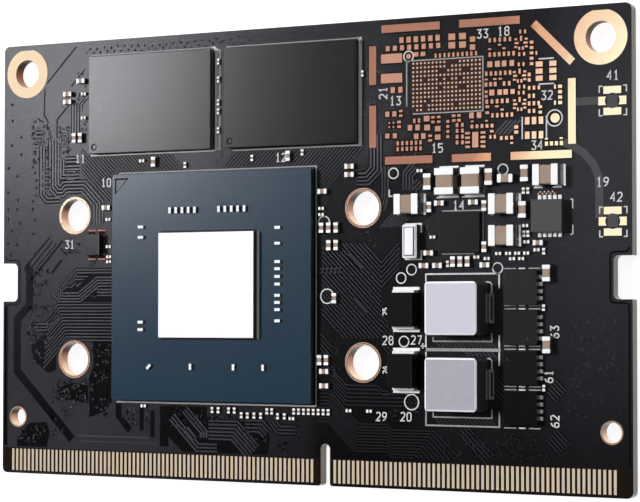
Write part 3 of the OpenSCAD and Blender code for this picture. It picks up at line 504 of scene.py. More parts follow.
# Tracks in even bundles, as path, count and pitch
for path, count, pitch in [
    ([(9.0, 11.5), (9.0, 8.1), (8.1, 7.2), (6.9, 7.2)], 4, 0.36),
    ([(10.0, 8.3), (10.0, 5.5), (9.6, 4.2)], 3, 0.3),
    ([(-25.75, 16.2), (-25.75, 13.0)], 3, 0.34),
    ([(-24.6, 16.6), (-25.2, 16.0), (-25.2, 15.2)], 2, 0.3),
    ([(-29.9, 11.8), (-29.9, 6.7), (-29.3, 6.1), (-27.6, 6.1)], 2, 0.36),
    ([(-28.4, 12.4), (-28.4, 7.5), (-27.9, 7.0), (-27.4, 7.0), (-27.0, 7.4), (-24.7, 7.4), (-22.9, 5.6),
      (-22.9, 3.4)], 4, 0.36),
    ([(-27.4, 10.4), (-27.4, 8.5), (-25.2, 8.5)], 2, 0.36),
    ([(-27.0, 10.2), (-25.4, 10.2)], 2, 0.36),
    ([(-27.0, 9.4), (-25.2, 9.4)], 2, 0.34),
    ([(-28.2, -3.4), (-27.5, -4.1), (-25.2, -4.1), (-22.9, -2.5), (-21.0, -2.5)], 4, 0.3),
    ([(-28.0, -3.9), (-25.5, -1.4), (-21.0, -1.4)], 2, 0.3),
    ([(-23.0, -3.6), (-21.0, -3.6)], 3, 0.3),
    ([(-30.7, -7.2), (-29.2, -7.2), (-27.9, -5.9)], 3, 0.32),
    ([(13.2, 8.3), (12.4, 7.5), (12.4, 6.0)], 4, 0.33),
    ([(13.0, 6.1), (13.7, 6.8)], 3, 0.33),
    ([(2.9, -1.6), (5.2, -1.6)], 2, 0.36),
    ([(-9.6, -17.4), (-6.6, -17.4), (-4.5, -19.5)], 6, 0.36),
    ([(-13.9, -16.2), (-10.9, -19.2), (-8.6, -19.2)], 3, 0.36),
    ([(-12.4, -15.4), (-10.2, -17.6), (-10.2, -18.2)], 3, 0.34),
    ([(-2.4, -16.3), (-1.6, -17.2), (0.3, -17.2)], 3, 0.34),
    ([(-5.4, -16.9), (-3.6, -16.9), (-2.9, -17.6)], 4, 0.36),
    ([(26.9, -12.4), (27.9, -13.4)], 5, 0.34),
    ([(27.0, -17.0), (28.2, -18.2)], 5, 0.34),
    ([(21.3, -12.4), (22.3, -13.4)], 4, 0.36),
    ([(18.0, -16.6), (20.8, -19.4)], 4, 0.36),
]:
    bundle(path, count, pitch)

# Level tracks on the left of the processor, whose ends turn down towards the contacts
for i in range(12):
    level = -4.85 - 0.335 * i
    reach = 1.2 + 0.16 * i
    turn = -27.8 + 0.1 * i
    lined([(-21.0, level), (turn, level), (turn - reach, level - reach)], 0.165, 0.335)

# Tracks that slant down to the right of the processor, round the cooler holes
for i in range(25):
    level = -2.6 + cooler_pitch * i
    top = min(1.0, level - 3.2)
    low = max(-8.2, level - 9.6)
    if top - low > 0.6:
        path = [(level - top, top), (level - low, low)]
        if -3.4 < low < 0.6 and level - low > 9.5:
            path.append((11.5, low + 1.9))
        lined(path, 0.16, 0.34)
for i in range(7):
    level = -7.6 + cooler_pitch * i
    lined([(3.0, level - 3.0), (4.9 - 0.1 * i, level - 4.9 + 0.1 * i)], 0.16, 0.34)
    lined([(9.6, level + 1.2 - 2.4), (11.0, level - 2.6)], 0.16, 0.34)

# Tracks that run from the foot of the processor to the contacts right of the key slot, with two turns
for i in range(10):
    drop = -13.2 - 0.34 * i
    turn = -16.4 - 0.29 * i
    path = [(2.8, drop), (3.9, drop), (3.9 + drop - turn, turn), (10.2, turn), (10.7, turn - 0.5),
            (15.2 - 0.25 * i, turn - 0.5)]
    if turn > -19.0:
        path.append((path[-1][0] + turn + 19.0, -19.5))
    lined(path, 0.16, 0.3)

# Level tracks between the lower cooler hole and the contacts
for i in range(6):
    level = -12.7 - 0.38 * i
    right = 10.4 if level > -13.4 else 13.6
    path = [(4.3, level + 1.5), (5.8, level), (right - 1.2, level), (right - 0.7, level - 0.5),
            (right, level - 0.5)]
    lined(path, 0.16, 0.3)

# Turned tracks that make some lines as long as their neighbours
for x, y, turns in [(-29.4, 9.5, 7), (-26.3, 9.0, 3), (-30.3, 13.6, 4), (-27.2, 12.9, 4)]:
    path = []
    for i in range(turns):
        row = y - 0.4 * i
        side = 0.45 if i % 2 else -0.45
        path += [(x + side, row), (x - side, row)]
    lined(path, 0.17, 0.3)

# Gaps between the copper areas, as path and width
for path, width in [
    ([(-31.9, -0.8), (-31.45, -1.25), (-31.45, -4.9), (-33.0, -6.4), (-33.0, -11.8), (-26.0, -18.8)], 0.9),
    ([(-28.9, 2.2), (-31.9, -0.8)], 0.2),
    ([(-28.5, 1.8), (-31.2, -0.9)], 0.16),
    ([(-27.3, 1.8), (-30.9, -1.9), (-31.3, -2.3)], 0.24),
    ([(-28.1, 1.5), (-30.6, -1.0)], 0.12),
    ([(-27.4, -0.2), (-28.7, -1.6)], 0.3),
    ([(-25.7, 22.0), (-29.6, 18.1), (-29.7, 15.0), (-29.3, 14.5), (-29.3, 13.4)], 0.16),
    ([(-26.6, 15.9), (-28.05, 14.5), (-28.05, 12.6)], 0.16),
    ([(-20.3, -15.0), (-20.3, -16.2), (-18.9, -17.7)], 0.7),
    ([(-17.5, -15.2), (-17.5, -17.7)], 0.5),
    ([(-16.2, -15.6), (-16.2, -18.3)], 0.5),
    ([(-14.8, -15.1), (-14.8, -19.2)], 1.0),
    ([(-24.6, 19.6), (-26.3, 17.9)], 0.14),
]:
    gap(path, width)

# Short slanted tracks by the radio section, the inductors and the upper cooler hole
for start in (21.3, 21.75, 22.2, 22.65):
    track([(start, 10.9), (start + 1.3, 12.2)], 0.2)
for i in range(14):
    for row in (-8.45, -15.7):
        track([(15.3 + slant_pitch * i, row), (15.8 + slant_pitch * i, row - 0.5)], 0.19)
for i in range(7):
    track([(9.5 + 0.35 * i, 2.5), (10.8 + 0.35 * i, 3.8)], 0.18)
    track([(18.4 + slant_pitch * i, -9.4), (18.8 + slant_pitch * i, -9.8)], 0.19)

# Nested tracks in the dark area left of the processor
for path in [
    [(-24.1, -1.95), (-25.9, -1.95), (-27.0, -3.05), (-26.2, -3.05), (-25.6, -2.6)],
    [(-24.6, -2.25), (-25.75, -2.25), (-26.35, -2.75)],
    [(-24.9, -2.55), (-25.5, -2.95)],
]:
    track(path, 0.15)

# Single tracks, as ends and width
for start, end, width in [
    ((-25.2, -18.4), (-16.6, -18.4), 0.16), ((-25.2, -18.95), (-15.6, -18.95), 0.1),
    ((-12.2, -17.3), (-11.2, -18.4), 0.6), ((6.1, -0.1), (7.5, -1.5), 0.34),
    ((6.6, -4.4), (8.0, -5.8), 0.4),
]:
    track([start, end], width)

# Rows of dark specks near the left edge
for column, rows in [
    (-34.05, (16.3, 14.6, 12.0, 9.6, 7.0, 5.2, 4.2, 2.9, 1.6, 0.4)),
    (-32.9, (12.8, 11.0, 8.7, 6.2, 5.2, 3.7, 1.5)),
    (-30.9, (13.2, 12.0, 11.2, 10.4, 9.6, 9.0, 8.2, 7.4, 6.6, 6.0, 5.2, 4.0, 2.6)),
]:
    for row in rows:
        shift = 0.25 * math.sin(7.0 * row)
        gap([(column + shift, row + 0.12), (column + shift + 0.1, row - 0.12)], 0.26)

# The copper stops short of the board's outline, the notches and the key slot
board_right = board_high.x
board_top = board_high.y
rim = 0.32
copper_low = -19.7


def rounded(points, radius):
    """A closed path whose corners are rounded, inner ones too."""
    steps = 4
    path = []
    count = len(points)
    for i in range(count):
        corner = Vector(points[i])
        before = (Vector(points[i - 1]) - corner).normalized() * radius
        after = (Vector(points[(i + 1) % count]) - corner).normalized() * radius
        for k in range(steps + 1):
            share = k / steps
            path.append(corner + before * (1 - share) ** 2 + after * share ** 2)
    return path


notch_low, notch_high, notch_in = -4.5, -0.5, board_right - 1.8
right_half = [(board_right - rim, notch_high + rim), (notch_in - rim, notch_high + rim),
              (notch_in - rim, notch_low - rim),
              (board_right - rim, notch_low - rim), (board_right - rim, copper_low - 0.05)]
left_half = [(-x, y) for x, y in reversed(right_half)]
top_corners = [(-board_right + rim, board_top - rim), (board_right - rim, board_top - rim)]
loop = rounded(top_corners + right_half + left_half, 0.45)
# The outline opens at its lower right corner, because the contacts need no gap along the lower edge
cut_off = max(range(len(loop)), key=lambda i: -loop[i].y * 100 + loop[i].x)
open_path = loop[cut_off + 1:] + loop[:cut_off + 1]
for sign in (-1, 1):
    gap([point for point in open_path if point.x * sign > 0 and copper_low < point.y < 21.6], 0.16)
gap([point for point in open_path if point.y > copper_low], 0.2, side=-1)
gap([(-board_right + 0.4, notch_low - 0.5), (-board_right + 0.4, copper_low + 0.1)], 0.45)
key_x = 3.55
key_half, key_shoulder, key_top = 0.8, -18.7, -18.15
for side in (1, -1):
    gap([(key_x - key_half, copper_low + 0.1), (key_x - key_half, key_shoulder), (key_x - 0.35, key_top),
         (key_x + 0.35, key_top), (key_x + key_half, key_shoulder), (key_x + key_half, copper_low + 0.1)],
        0.55, side)

# Short bent tracks and small filled vias, scattered where lines change layers
scatter = random.Random(5)
pale_left, pale_low = 7.5, -16.5
crowding = 1.2


def squiggle(x, y):
    """A short bent track: bare on the pale mask at the right, and set in a dark gap elsewhere."""
    heading = scatter.randrange(8)
    path = [Vector((x, y))]
    for i in range(scatter.randint(1, 3)):
        heading += scatter.choice((-2, -1, 0, 1, 2))
        step = Matrix.Rotation(heading * math.pi / 4, 2) @ Vector((scatter.uniform(0.10, 0.22), 0))
        path.append(path[-1] + step)
    if x > pale_left and y > pale_low:
        track(path, 0.12)
    elif x > pale_left:
        lined(path, 0.12, 0.26)
    elif scatter.random() < 0.5:
        lined(path, 0.1, 0.24)
    else:
        gap(path, 0.17)


def via(x, y, side=1):
    """A small filled hole, with a dark ring round it where the mask isn't pale."""
    if at_hole(Vector((x, y))):
        return
    reach = scatter.uniform(0.12, 0.18)
    layers = [(gaps, reach, reach, gap_height), (traces, 0.08, 0.06, trace_height)]
    if x > pale_left and y > pale_low and side > 0:
        layers.pop(0)
    for target, foot, tip, height in layers:
        dot = bmesh.new()
        bmesh.ops.create_cone(dot, cap_ends=True, segments=8, radius1=foot, radius2=tip,
                              depth=height + sunk)
        turn = Matrix.Rotation(0 if side > 0 else math.pi, 4, "X")
        place = Matrix.Translation((x, y, faces[side] + side * (height - sunk) / 2))
        stamp(target[side], dot, place @ turn)


for low_x, high_x, low_y, high_y, bends, dots in [
    (-31.2, -28.8, 10.0, 14.4, 46, 20), (-27.9, -26.2, 10.9, 13.8, 18, 6),
    (-25.3, -24.2, 13.2, 14.2, 3, 2), (-25.4, -24.2, 16.2, 19.2, 8, 0),
    (-31.5, -28.4, -10.8, -4.8, 90, 30), (-28.4, -24.2, -15.0, -12.7, 66, 20),
    (-24.0, -21.4, -16.4, -8.8, 90, 16), (-27.4, -26.0, -16.4, -15.2, 12, 4),
    (-32.4, -29.2, -19.3, -17.4, 40, 10), (-19.7, -17.9, -17.2, -15.2, 16, 4),
    (-17.0, -16.6, -17.6, -15.4, 5, 2), (-14.0, -10.0, -17.0, -15.3, 34, 12),
    (-9.8, -6.2, -16.5, -15.8, 24, 6), (-5.6, -2.9, -18.8, -16.4, 22, 6),
    (-1.7, -0.5, -19.4, -18.3, 9, 2), (0.1, 0.9, -18.0, -16.4, 5, 2),
    (3.2, 5.2, -12.6, -9.0, 16, 6), (28.5, 33.5, -12.5, -5.5, 34, 26),
    (28.5, 33.8, -15.6, -13.0, 12, 16), (16.0, 27.0, -19.4, -16.8, 110, 34),
    (-9.0, -8.0, 9.4, 11.6, 5, 2), (10.3, 13.5, 9.0, 9.4, 3, 6),
    (13.4, 15.2, 1.5, 3.6, 4, 6), (22.5, 28.5, -0.8, 0.6, 0, 8),
    (-24.6, -22.4, -4.2, -3.5, 8, 3), (-31.0, -29.0, -4.2, -1.0, 18, 8),
    (-27.6, -25.2, 0.2, 2.0, 14, 4), (7.8, 9.2, 12.0, 20.4, 20, 12),
    (-28.8, -27.2, -18.6, -16.6, 10, 4), (6.0, 9.4, 0.6, 2.4, 8, 4),
    (9.4, 11.4, -16.2, -14.9, 10, 6), (-23.6, -22.8, -0.8, 0.2, 3, 2),
]:
    for i in range(round(crowding * bends)):
        squiggle(scatter.uniform(low_x, high_x), scatter.uniform(low_y, high_y))
    for i in range(dots):
        via(scatter.uniform(low_x, high_x), scatter.uniform(low_y, high_y))

# Specks in two rows along the upper edge
for i in range(72):
    start = -24.4 + 0.42 * i + scatter.uniform(-0.06, 0.06)
    row = (21.7 if i % 2 else 21.25) + scatter.uniform(-0.1, 0.1)
    gap([(start, row), (start + scatter.uniform(0.1, 0.2), row + scatter.choice((-0.14, 0, 0.14)))], 0.26)

# On the underside each second contact has its own track to a via, and vias stand under the processor
for row in ("long_contact_row_underside", "short_contact_row_underside"):
    for i, (low, high) in enumerate(sorted(islands(row), key=lambda box: box[0].x)):
        if i % 2:
            middle = (low.x + high.x) / 2
            rise = high.y + 0.5 + 0.3 * (i % 8) / 2
            lined([(middle, high.y + 0.05), (middle, rise)], 0.16, 0.34, side=-1)
            via(middle, rise + 0.05, side=-1)
for column in range(11):
    for row in range(18):
        via(-19.4 + 1.25 * column, -12.0 + 1.0 * row + 0.5 * (column % 2), side=-1)
for path, count, pitch in [
    ([(-6.4, 6.4), (-6.4, 8.6), (-9.4, 11.6), (-20.0, 11.6)], 6, 0.36),
    ([(5.6, 3.0), (8.2, 5.6), (8.2, 12.0), (11.4, 15.2)], 6, 0.36),
    ([(5.6, -3.6), (9.2, -7.2), (20.4, -7.2), (23.2, -10.0), (23.2, -15.4)], 5, 0.4),
    ([(-20.6, -5.0), (-25.3, -5.0), (-29.8, -9.5), (-29.8, -14.4)], 6, 0.36),
    ([(-20.6, 4.8), (-23.4, 7.6), (-29.4, 7.6)], 4, 0.36),
]:
    bundle(path, count, pitch, side=-1)


def covered_copper(wire):
    spot = spot_in_mm(wire)
    cloud = noise(wire, spot, 0.6, 3)
    across = coordinate(wire, spot, 0)
    # The covered copper is paler than the mask partly because copper lies under it, and partly as a painted
    # highlight on the ridges. Its right side takes the mask's painted light and shade.
    left = blend(wire, cloud, (0.030, 0.030, 0.035, 1), (0.047, 0.047, 0.054, 1))
    along = coordinate(wire, spot, 1)
    right = painted_right_shading(wire, across, along, 2.1 + 1.0 * cloud, 0.42)
    return {
        "Base Color": blend(wire, span(wire, across, -20.0, 4.0), left, right),
        "Roughness": 0.19 + 0.08 * noise(wire, spot, 4.0, 3),
        "Specular IOR Level": 0.65,
        "Normal": relief(wire, noise(wire, spot, 9.0, 3), 0.15, 0.000008),
    }


def bare_gap(wire):
    spot = spot_in_mm(wire)
    cloud = noise(wire, spot, 0.8, 3)
    across = coordinate(wire, spot, 0)
    along = coordinate(wire, spot, 1)
    # The gaps are dark partly because no copper lies under the mask, and partly as painted shade between
    # the ridges. The paler tone towards the upper left is painted sheen.
    upper = blend(wire, cloud, (0.007, 0.007, 0.008, 1), (0.011, 0.011, 0.013, 1))
    lower = blend(wire, cloud, (0.001, 0.001, 0.0013, 1), (0.003, 0.003, 0.0036, 1))
    return {
        "Base Color": blend(wire, span(wire, across - along, -14.0, -32.0), lower, upper),
        "Roughness": 0.30 + 0.12 * noise(wire, spot, 5.0, 3),
        "Specular IOR Level": 0.10,
        "Normal": relief(wire, noise(wire, spot, 8.0, 4), 0.5, 0.00001),
    }


trace_finish = finish("mask_over_copper", covered_copper)
gap_finish = finish("mask_in_gaps", bare_gap)
piece("traces_top", traces[1], [trace_finish], "solder_mask")
piece("trace_gaps_top", gaps[1], [gap_finish], "solder_mask")
piece("traces_underside", traces[-1], [trace_finish], "solder_mask")
piece("trace_gaps_underside", gaps[-1], [gap_finish], "solder_mask")

# Antenna feeds
# Two broad tracks of even width that carry the radio signal from the empty shield to the sockets.
# The mask over them looks paler, because the copper below is wide and flat.
feed_cover = mottled((0.046, 0.042, 0.047), (0.060, 0.055, 0.061), (0.7, 3),
                     (0.34, 0.1, 4.0, 3), (0.3, 0.000008, 9.0, 3))
feed_width = 0.75
socket_shift = 1.1
feeds = bmesh.new()
for path in [
    [(28.2, 10.0), (29.1, 9.6), (30.2, 8.9), (31.1, 7.9), (31.55, 6.9), (31.65, 6.0), (31.65, 2.9)],
    [(29.4, 13.65), (31.7, 13.65)],
]:
    ribbon(feeds, path, feed_width, top_z - sunk, top_z + trace_height, slope=0.04)
for sign in (1, -1):
    low, high = max(islands("antenna_socket_lands"), key=lambda box: sign * box[0].y)
    middle = (low.x + high.x) / 2
    centre = (low.y + high.y) / 2 - sign * socket_shift
    ribbon(feeds, [(middle - 0.5, centre), (middle + 0.5, centre)], 1.3, top_z - sunk, top_z + 0.02)
piece("antenna_feeds", feeds, [finish("mask_over_feeds", feed_cover)], "solder_mask")

# Contacts, plated holes and bare lands
# Copper pads left free of mask and plated with a thin layer of gold, whose colour shifts from copper to
# pale gold from the upper left to the lower right as painted light.
# The laminate shows dark brown between them, inside the openings of the mask.
def plated(colours, low, high, roughness, tilt=0.6, shine=0.25, lit_bore=(0.42, 0.24, 0.15, 1)):
    """A plated finish whose colour goes through stops from the upper left to the lower right, as painted
    light, with painted light and shade on its bore walls.
    """
    half_lit = (lit_bore[0] * 0.48, lit_bore[1] * 0.33, lit_bore[2] * 0.28, 1)

    def recipe(wire):
        spot = spot_in_mm(wire)
        across = coordinate(wire, spot, 0)
        along = coordinate(wire, spot, 1)
        patch = noise(wire, spot, 1.6, 4)
        share = span(wire, across - tilt * along + 3.0 * (patch - 0.5), low, high)
        face = wire.add("ValToRGB", {"stops": colours}, {0: share})
        # Painted light and shade in the bores: walls facing the board's upper edge are bright, and walls
        # facing its lower edge are dark.
        toward_top = coordinate(wire, wire.add("NewGeometry", output=1), 1)
        bore = wire.add("ValToRGB", {"stops": [
            (0.0, (0.03, 0.010, 0.005, 1)), (0.5, half_lit), (1.0, lit_bore)
        ]}, {0: span(wire, toward_top + 0.4 * (patch - 0.5), -0.55, 0.75)})
        flat = facing_up(wire)
        return {
            "Base Color": blend(wire, flat, bore, face),
            "Metallic": 1.0 + (shine - 1.0) * flat,
            "Roughness": roughness + 0.16 * noise(wire, spot, 5.0, 3),
            "Normal": relief(wire, noise(wire, spot, 14.0, 3), 0.4, 0.000006),
        }
    return recipe


corner_gold = finish("corner_gold", plated([
    (0.0, (0.74, 0.58, 0.385, 1)), (0.90, (0.84, 0.54, 0.35, 1)), (0.945, (0.90, 0.67, 0.44, 1)),
    (0.99, (0.97, 0.87, 0.59, 1))
], -44, 23.5, 0.34))
ring_copper = finish("ring_copper", plated([
    (0.0, (0.80, 0.60, 0.42, 1)), (1.0, (0.55, 0.30, 0.19, 1))
], -34, -16, 0.15, tilt=1.2, shine=0.85, lit_bore=(1.0, 0.76, 0.56, 1)))
contact_gold = finish("contact_gold", plated([
    (0.0, (0.545, 0.447, 0.335, 1)), (1.0, (0.605, 0.50, 0.38, 1))], -24, 44, 0.34))
land_copper = finish("land_copper", plated([
    (0.0, (0.36, 0.165, 0.11, 1)), (0.25, (0.46, 0.22, 0.14, 1)), (0.38, (0.70, 0.35, 0.20, 1)),
    (0.63, (0.78, 0.46, 0.285, 1)), (0.73, (0.86, 0.63, 0.40, 1)), (0.82, (0.92, 0.80, 0.50, 1)),
    (0.94, (0.94, 0.85, 0.545, 1))
], 12, 24, 0.36, tilt=0.45))
part_copper = finish("part_copper", plated([
    (0.0, (0.50, 0.255, 0.18, 1)), (0.25, (0.60, 0.325, 0.23, 1)), (0.38, (0.80, 0.46, 0.31, 1)),
    (0.63, (0.86, 0.57, 0.40, 1)), (0.73, (0.90, 0.70, 0.48, 1)), (0.82, (0.94, 0.83, 0.56, 1)),
    (0.94, (0.95, 0.87, 0.59, 1))
], 12, 24, 0.36, tilt=0.45))
grid_copper = finish("grid_copper", plated([
    (0.0, (0.62, 0.40, 0.29, 1)), (1.0, (0.70, 0.48, 0.35, 1))], 4, 12, 0.36))
contact_rows = ("long_contact_row_top", "short_contact_row_top",
                "long_contact_row_underside", "short_contact_row_underside")
dress("corner_hole_plating", corner_gold)
dress("antenna_socket_lands", corner_gold)
dress("radio_chip_lands", grid_copper)
for node in ("cooler_hole_plating", "guide_hole_plating"):
    dress(node, ring_copper)
for node in contact_rows:
    dress(node, contact_gold)
for node in ("shield_frame_lands", "oscillator_pads"):
    dress(node, land_copper)
dress("radio_part_lands", part_copper)

# Thin paler rings along the inner and outer edges of each plated ring are painted highlights.
rims = bmesh.new()
for node, bore in [("cooler_hole_plating", 1.7), ("guide_hole_plating", 0.95)]:
    for low, high in islands(node):
        middle = (low + high) / 2
        for radius in (bore + 0.06, (high.x - low.x) / 2 - 0.05):
            circle = ring(middle.x, middle.y, radius, 48)
            ribbon(rims, circle, 0.07, high.z - 0.01, high.z + 0.006, closed=True)
piece("hole_rims", rims, [finish("rim_copper_highlight", plated([
    (0.0, (0.85, 0.68, 0.50, 1)), (1.0, (0.52, 0.34, 0.24, 1))], -34, -16, 0.34, tilt=1.2))], "bare_copper")

openings = bmesh.new()
opening_margin = 0.12
corner_margin = 0.2
key_margin = 0.62
contact_y = -21.08
contact_opening = 2.5
opening_height = 0.008
for row in contact_rows:
    low, high = box_of(row)
    side = 1 if low.z > under_z else -1
    left = -board_right + corner_margin if low.x < key_x else key_x + key_margin
    right = board_right - corner_margin if high.x > key_x else key_x - key_margin
    ribbon(openings, [(left, contact_y), (right, contact_y)], contact_opening,
           faces[side] - side * sunk, faces[side] + side * opening_height)
for node in ("shield_frame_lands", "radio_part_lands"):
    for low, high in islands(node):
        wide, tall = high.x - low.x, high.y - low.y
        if abs(wide - tall) < 0.01 and wide > 2:
            continue
        middle = (low.y + high.y) / 2
        ribbon(openings, [(low.x - opening_margin, middle), (high.x + opening_margin, middle)],
               tall + 2 * opening_margin, top_z - sunk, top_z + 0.007 + 0.004 * scatter.random())
low, high = box_of("radio_chip_lands")
middle = (low.y + high.y) / 2
grid_ground = bmesh.new()
ribbon(grid_ground, [(low.x - 0.1, middle), (high.x + 0.1, middle)], high.y - low.y + 0.2,
       top_z - sunk, top_z + 0.01)
bare_laminate = mottled((0.003, 0.002, 0.001), (0.010, 0.005, 0.003), (3.0, 4),
                        (0.55, 0.2, 6.0, 3), (0.5, 0.00001, 10.0, 3), {"Specular IOR Level": 0.15})
brown_laminate = mottled((0.012, 0.004, 0.003), (0.028, 0.009, 0.006), (3.0, 4),
                         (0.5, 0.2, 6.0, 3), (0.5, 0.00001, 10.0, 3))
piece("mask_openings", openings, [finish("bare_laminate", bare_laminate)], "solder_mask")
piece("radio_chip_ground", grid_ground, [finish("brown_laminate", brown_laminate)], "solder_mask")

# Silk screen
# White ink that is printed on the mask: outlines of the parts, test rings and plain place numbers.
# The ink is matt, a little grey where it is thin, and follows the board's face.
silk = bmesh.new()
thin_silk = bmesh.new()
silk_top = top_z + 0.042
pen_line = 0.115


def ink(path, width, closed=False, target=silk):
    ribbon(target, path, width, top_z - sunk, silk_top, closed)


for path, width, target in [
    ([(-20.5, -14.8), (2.55, -14.8)], 0.15, thin_silk),
    ([(2.55, -14.8), (2.55, 8.62), (-20.2, 8.62), (-20.75, 8.1), (-20.75, -14.6)], 0.12, thin_silk),
    ([(-23.75, 10.55), (-8.95, 10.55)], 0.13, silk),
    ([(-9.5, 20.95), (-8.95, 20.95), (-8.95, 20.5)], 0.16, silk),
    ([(-23.75, 10.6), (-23.75, 20.95), (-9.3, 20.95)], 0.1, thin_silk),
    # Beside the memory chips the silk strips are wide and bright partly as painted light over the chips'
    # shadows, and the grey strip at x -8.43 is painted light only.
    ([(-8.77, 20.8), (-8.77, 10.6)], 0.32, silk),
    ([(-8.43, 20.7), (-8.43, 10.6)], 0.3, thin_silk),
    ([(6.9, 20.9), (7.4, 20.9), (7.4, 20.4)], 0.16, silk),
    ([(7.35, 20.8), (7.35, 10.6)], 0.36, silk),
    ([(7.5, 10.5), (-6.9, 10.5)], 0.13, thin_silk),
    ([(-7.6, 11.4), (-7.6, 20.9), (7.3, 20.9)], 0.1, thin_silk),
    ([(14.3, -2.75), (14.3, -2.05), (21.8, -2.05), (21.8, -3.45)], 0.15, silk),
    ([(14.3, -14.95), (14.3, -16.35), (21.8, -16.35), (21.8, -14.95)], 0.15, thin_silk),
    ([(14.3, -9.2), (21.95, -9.2)], 0.3, thin_silk),
]:
    ink(path, width, target=target)
for x in (14.3, 21.8):
    ink([(x, -7.8), (x, -9.0)], 0.15)
ink([(14.3, -9.4), (14.3, -10.0)], 0.15)
ink([(21.8, -9.4), (21.8, -10.65)], 0.15)
for low, high in [(-9.2, -2.05), (-16.35, -9.2)]:
    ink([(15.05, low + 1.2), (15.05, low + 0.8), (21.05, low + 0.8), (21.05, low + 1.6)], 0.13,
        target=thin_silk)
    ink([(20.3, high - 0.95), (20.5, high - 0.8), (20.85, high - 0.8), (21.05, high - 1.0),
         (21.05, high - 1.8)], 0.13)
for row, doubled in [(-1.6, False), (-5.2, True), (-8.95, True), (-12.7, True), (-16.4, False)]:
    for step in ((-0.15, 0.15) if doubled else (0.0,)):
        ink([(23.75, row + step), (24.4, row + step)], 0.13)
        for left, right in [(22.3, 23.5), (24.75, 25.9)]:
            ink([(left, row + step), (right, row + step)], 0.11, target=thin_silk)
for x, y, radius in [
    (10.9, 7.65, 0.5), (22.2, 7.65, 0.5), (12.8, -1.6, 0.5), (11.7, -2.4, 0.5), (21.65, -1.55, 0.5),
    (12.0, -8.45, 0.5), (12.8, -14.2, 0.73), (3.4, 3.1, 0.6), (3.75, -4.1, 0.7), (12.5, 18.8, 0.5),
    (27.35, 12.25, 0.75),
]:
    ink(ring(x, y, radius, 28), pen_line, closed=True)
ink([(12.3, 14.0), (12.3, 18.35), (20.2, 18.35), (20.2, 13.25), (12.95, 13.25)], 0.12, target=thin_silk)
ink([(16.0, 3.9), (20.2, 3.9), (20.2, -0.1)], 0.11, target=thin_silk)
ink([(16.0, -0.15), (19.3, -0.15)], 0.13, target=thin_silk)
for left, right, row in [
    (15.45, 17.7, 5.2), (18.05, 20.35, 5.2), (25.3, 26.15, 5.87), (27.15, 28.05, 5.87), (20.7, 21.4, 0.6),
    (22.5, 23.2, 0.6),
]:
    ink([(left, row), (right, row)], 0.13)
for y, way in [(4.75, -1), (1.45, 1)]:
    ink([(28.9, y), (29.1, y + 0.1 * way), (29.1, y + 0.9 * way)], 0.12)
for path in [
    [(25.8, 17.8), (27.3, 17.8)], [(25.8, 15.45), (27.3, 15.45)], [(24.15, 10.4), (24.15, 12.5)],
    [(26.55, 10.4), (26.55, 12.5)], [(10.45, 6.1), (10.45, 5.45), (10.8, 5.45)],
    [(13.75, -8.85), (14.2, -8.85)], [(13.97, -8.6), (13.97, -9.1)],
]:
    ink(path, 0.12)
for x, y in [(33.0, 13.6), (33.0, 2.55)]:
    for side in (-1, 1):
        for end in (-1, 1):
            ink([(x + side * 1.0, y + end * 1.35), (x + side * 1.3, y + end * 1.35),
                 (x + side * 1.3, y + end * 0.75)], 0.11)

digit_strokes = {
    "0": [[(0, 0.15), (0, 0.85), (0.15, 1), (0.45, 1), (0.6, 0.85), (0.6, 0.15), (0.45, 0), (0.15, 0),
           (0, 0.15)]],
    "1": [[(0.1, 0.8), (0.3, 1), (0.3, 0)], [(0.1, 0), (0.5, 0)]],
    "2": [[(0, 0.85), (0.15, 1), (0.45, 1), (0.6, 0.85), (0.6, 0.6), (0, 0), (0.6, 0)]],
    "3": [[(0, 1), (0.6, 1), (0.3, 0.6), (0.6, 0.4), (0.6, 0.15), (0.45, 0), (0.15, 0), (0, 0.15)]],
    "4": [[(0.45, 0), (0.45, 1), (0, 0.35), (0.6, 0.35)]],
    "5": [[(0.6, 1), (0, 1), (0, 0.55), (0.45, 0.6), (0.6, 0.45), (0.6, 0.15), (0.45, 0), (0, 0)]],
    "6": [[(0.55, 1), (0.2, 0.8), (0, 0.4), (0, 0.15), (0.15, 0), (0.45, 0), (0.6, 0.15), (0.6, 0.4),
           (0.45, 0.55), (0.05, 0.45)]],
    "7": [[(0, 1), (0.6, 1), (0.2, 0)]],
    "8": [[(0.15, 0.55), (0, 0.7), (0, 0.85), (0.15, 1), (0.45, 1), (0.6, 0.85), (0.6, 0.7), (0.45, 0.55),
           (0.15, 0.55), (0, 0.4), (0, 0.15), (0.15, 0), (0.45, 0), (0.6, 0.15), (0.6, 0.4), (0.45, 0.55)]],
    "9": [[(0.05, 0), (0.4, 0.2), (0.6, 0.6), (0.6, 0.85), (0.45, 1), (0.15, 1), (0, 0.85), (0, 0.6),
           (0.15, 0.45), (0.55, 0.55)]],
}


def place_number(digits, x, y, turned=False, height=0.78):
    """Digits drawn with one stroke of the pen each, as on most boards, about a middle."""
    for i, digit in enumerate(digits):
        for stroke in digit_strokes[digit]:
            path = []
            for across, up in stroke:
                right = (0.85 * across - 0.25 + 0.84 * (i - (len(digits) - 1) / 2)) * height
                rise = (up - 0.5) * height
                path.append((x - rise, y + right) if turned else (x + right, y + rise))
            ink(path, pen_line)


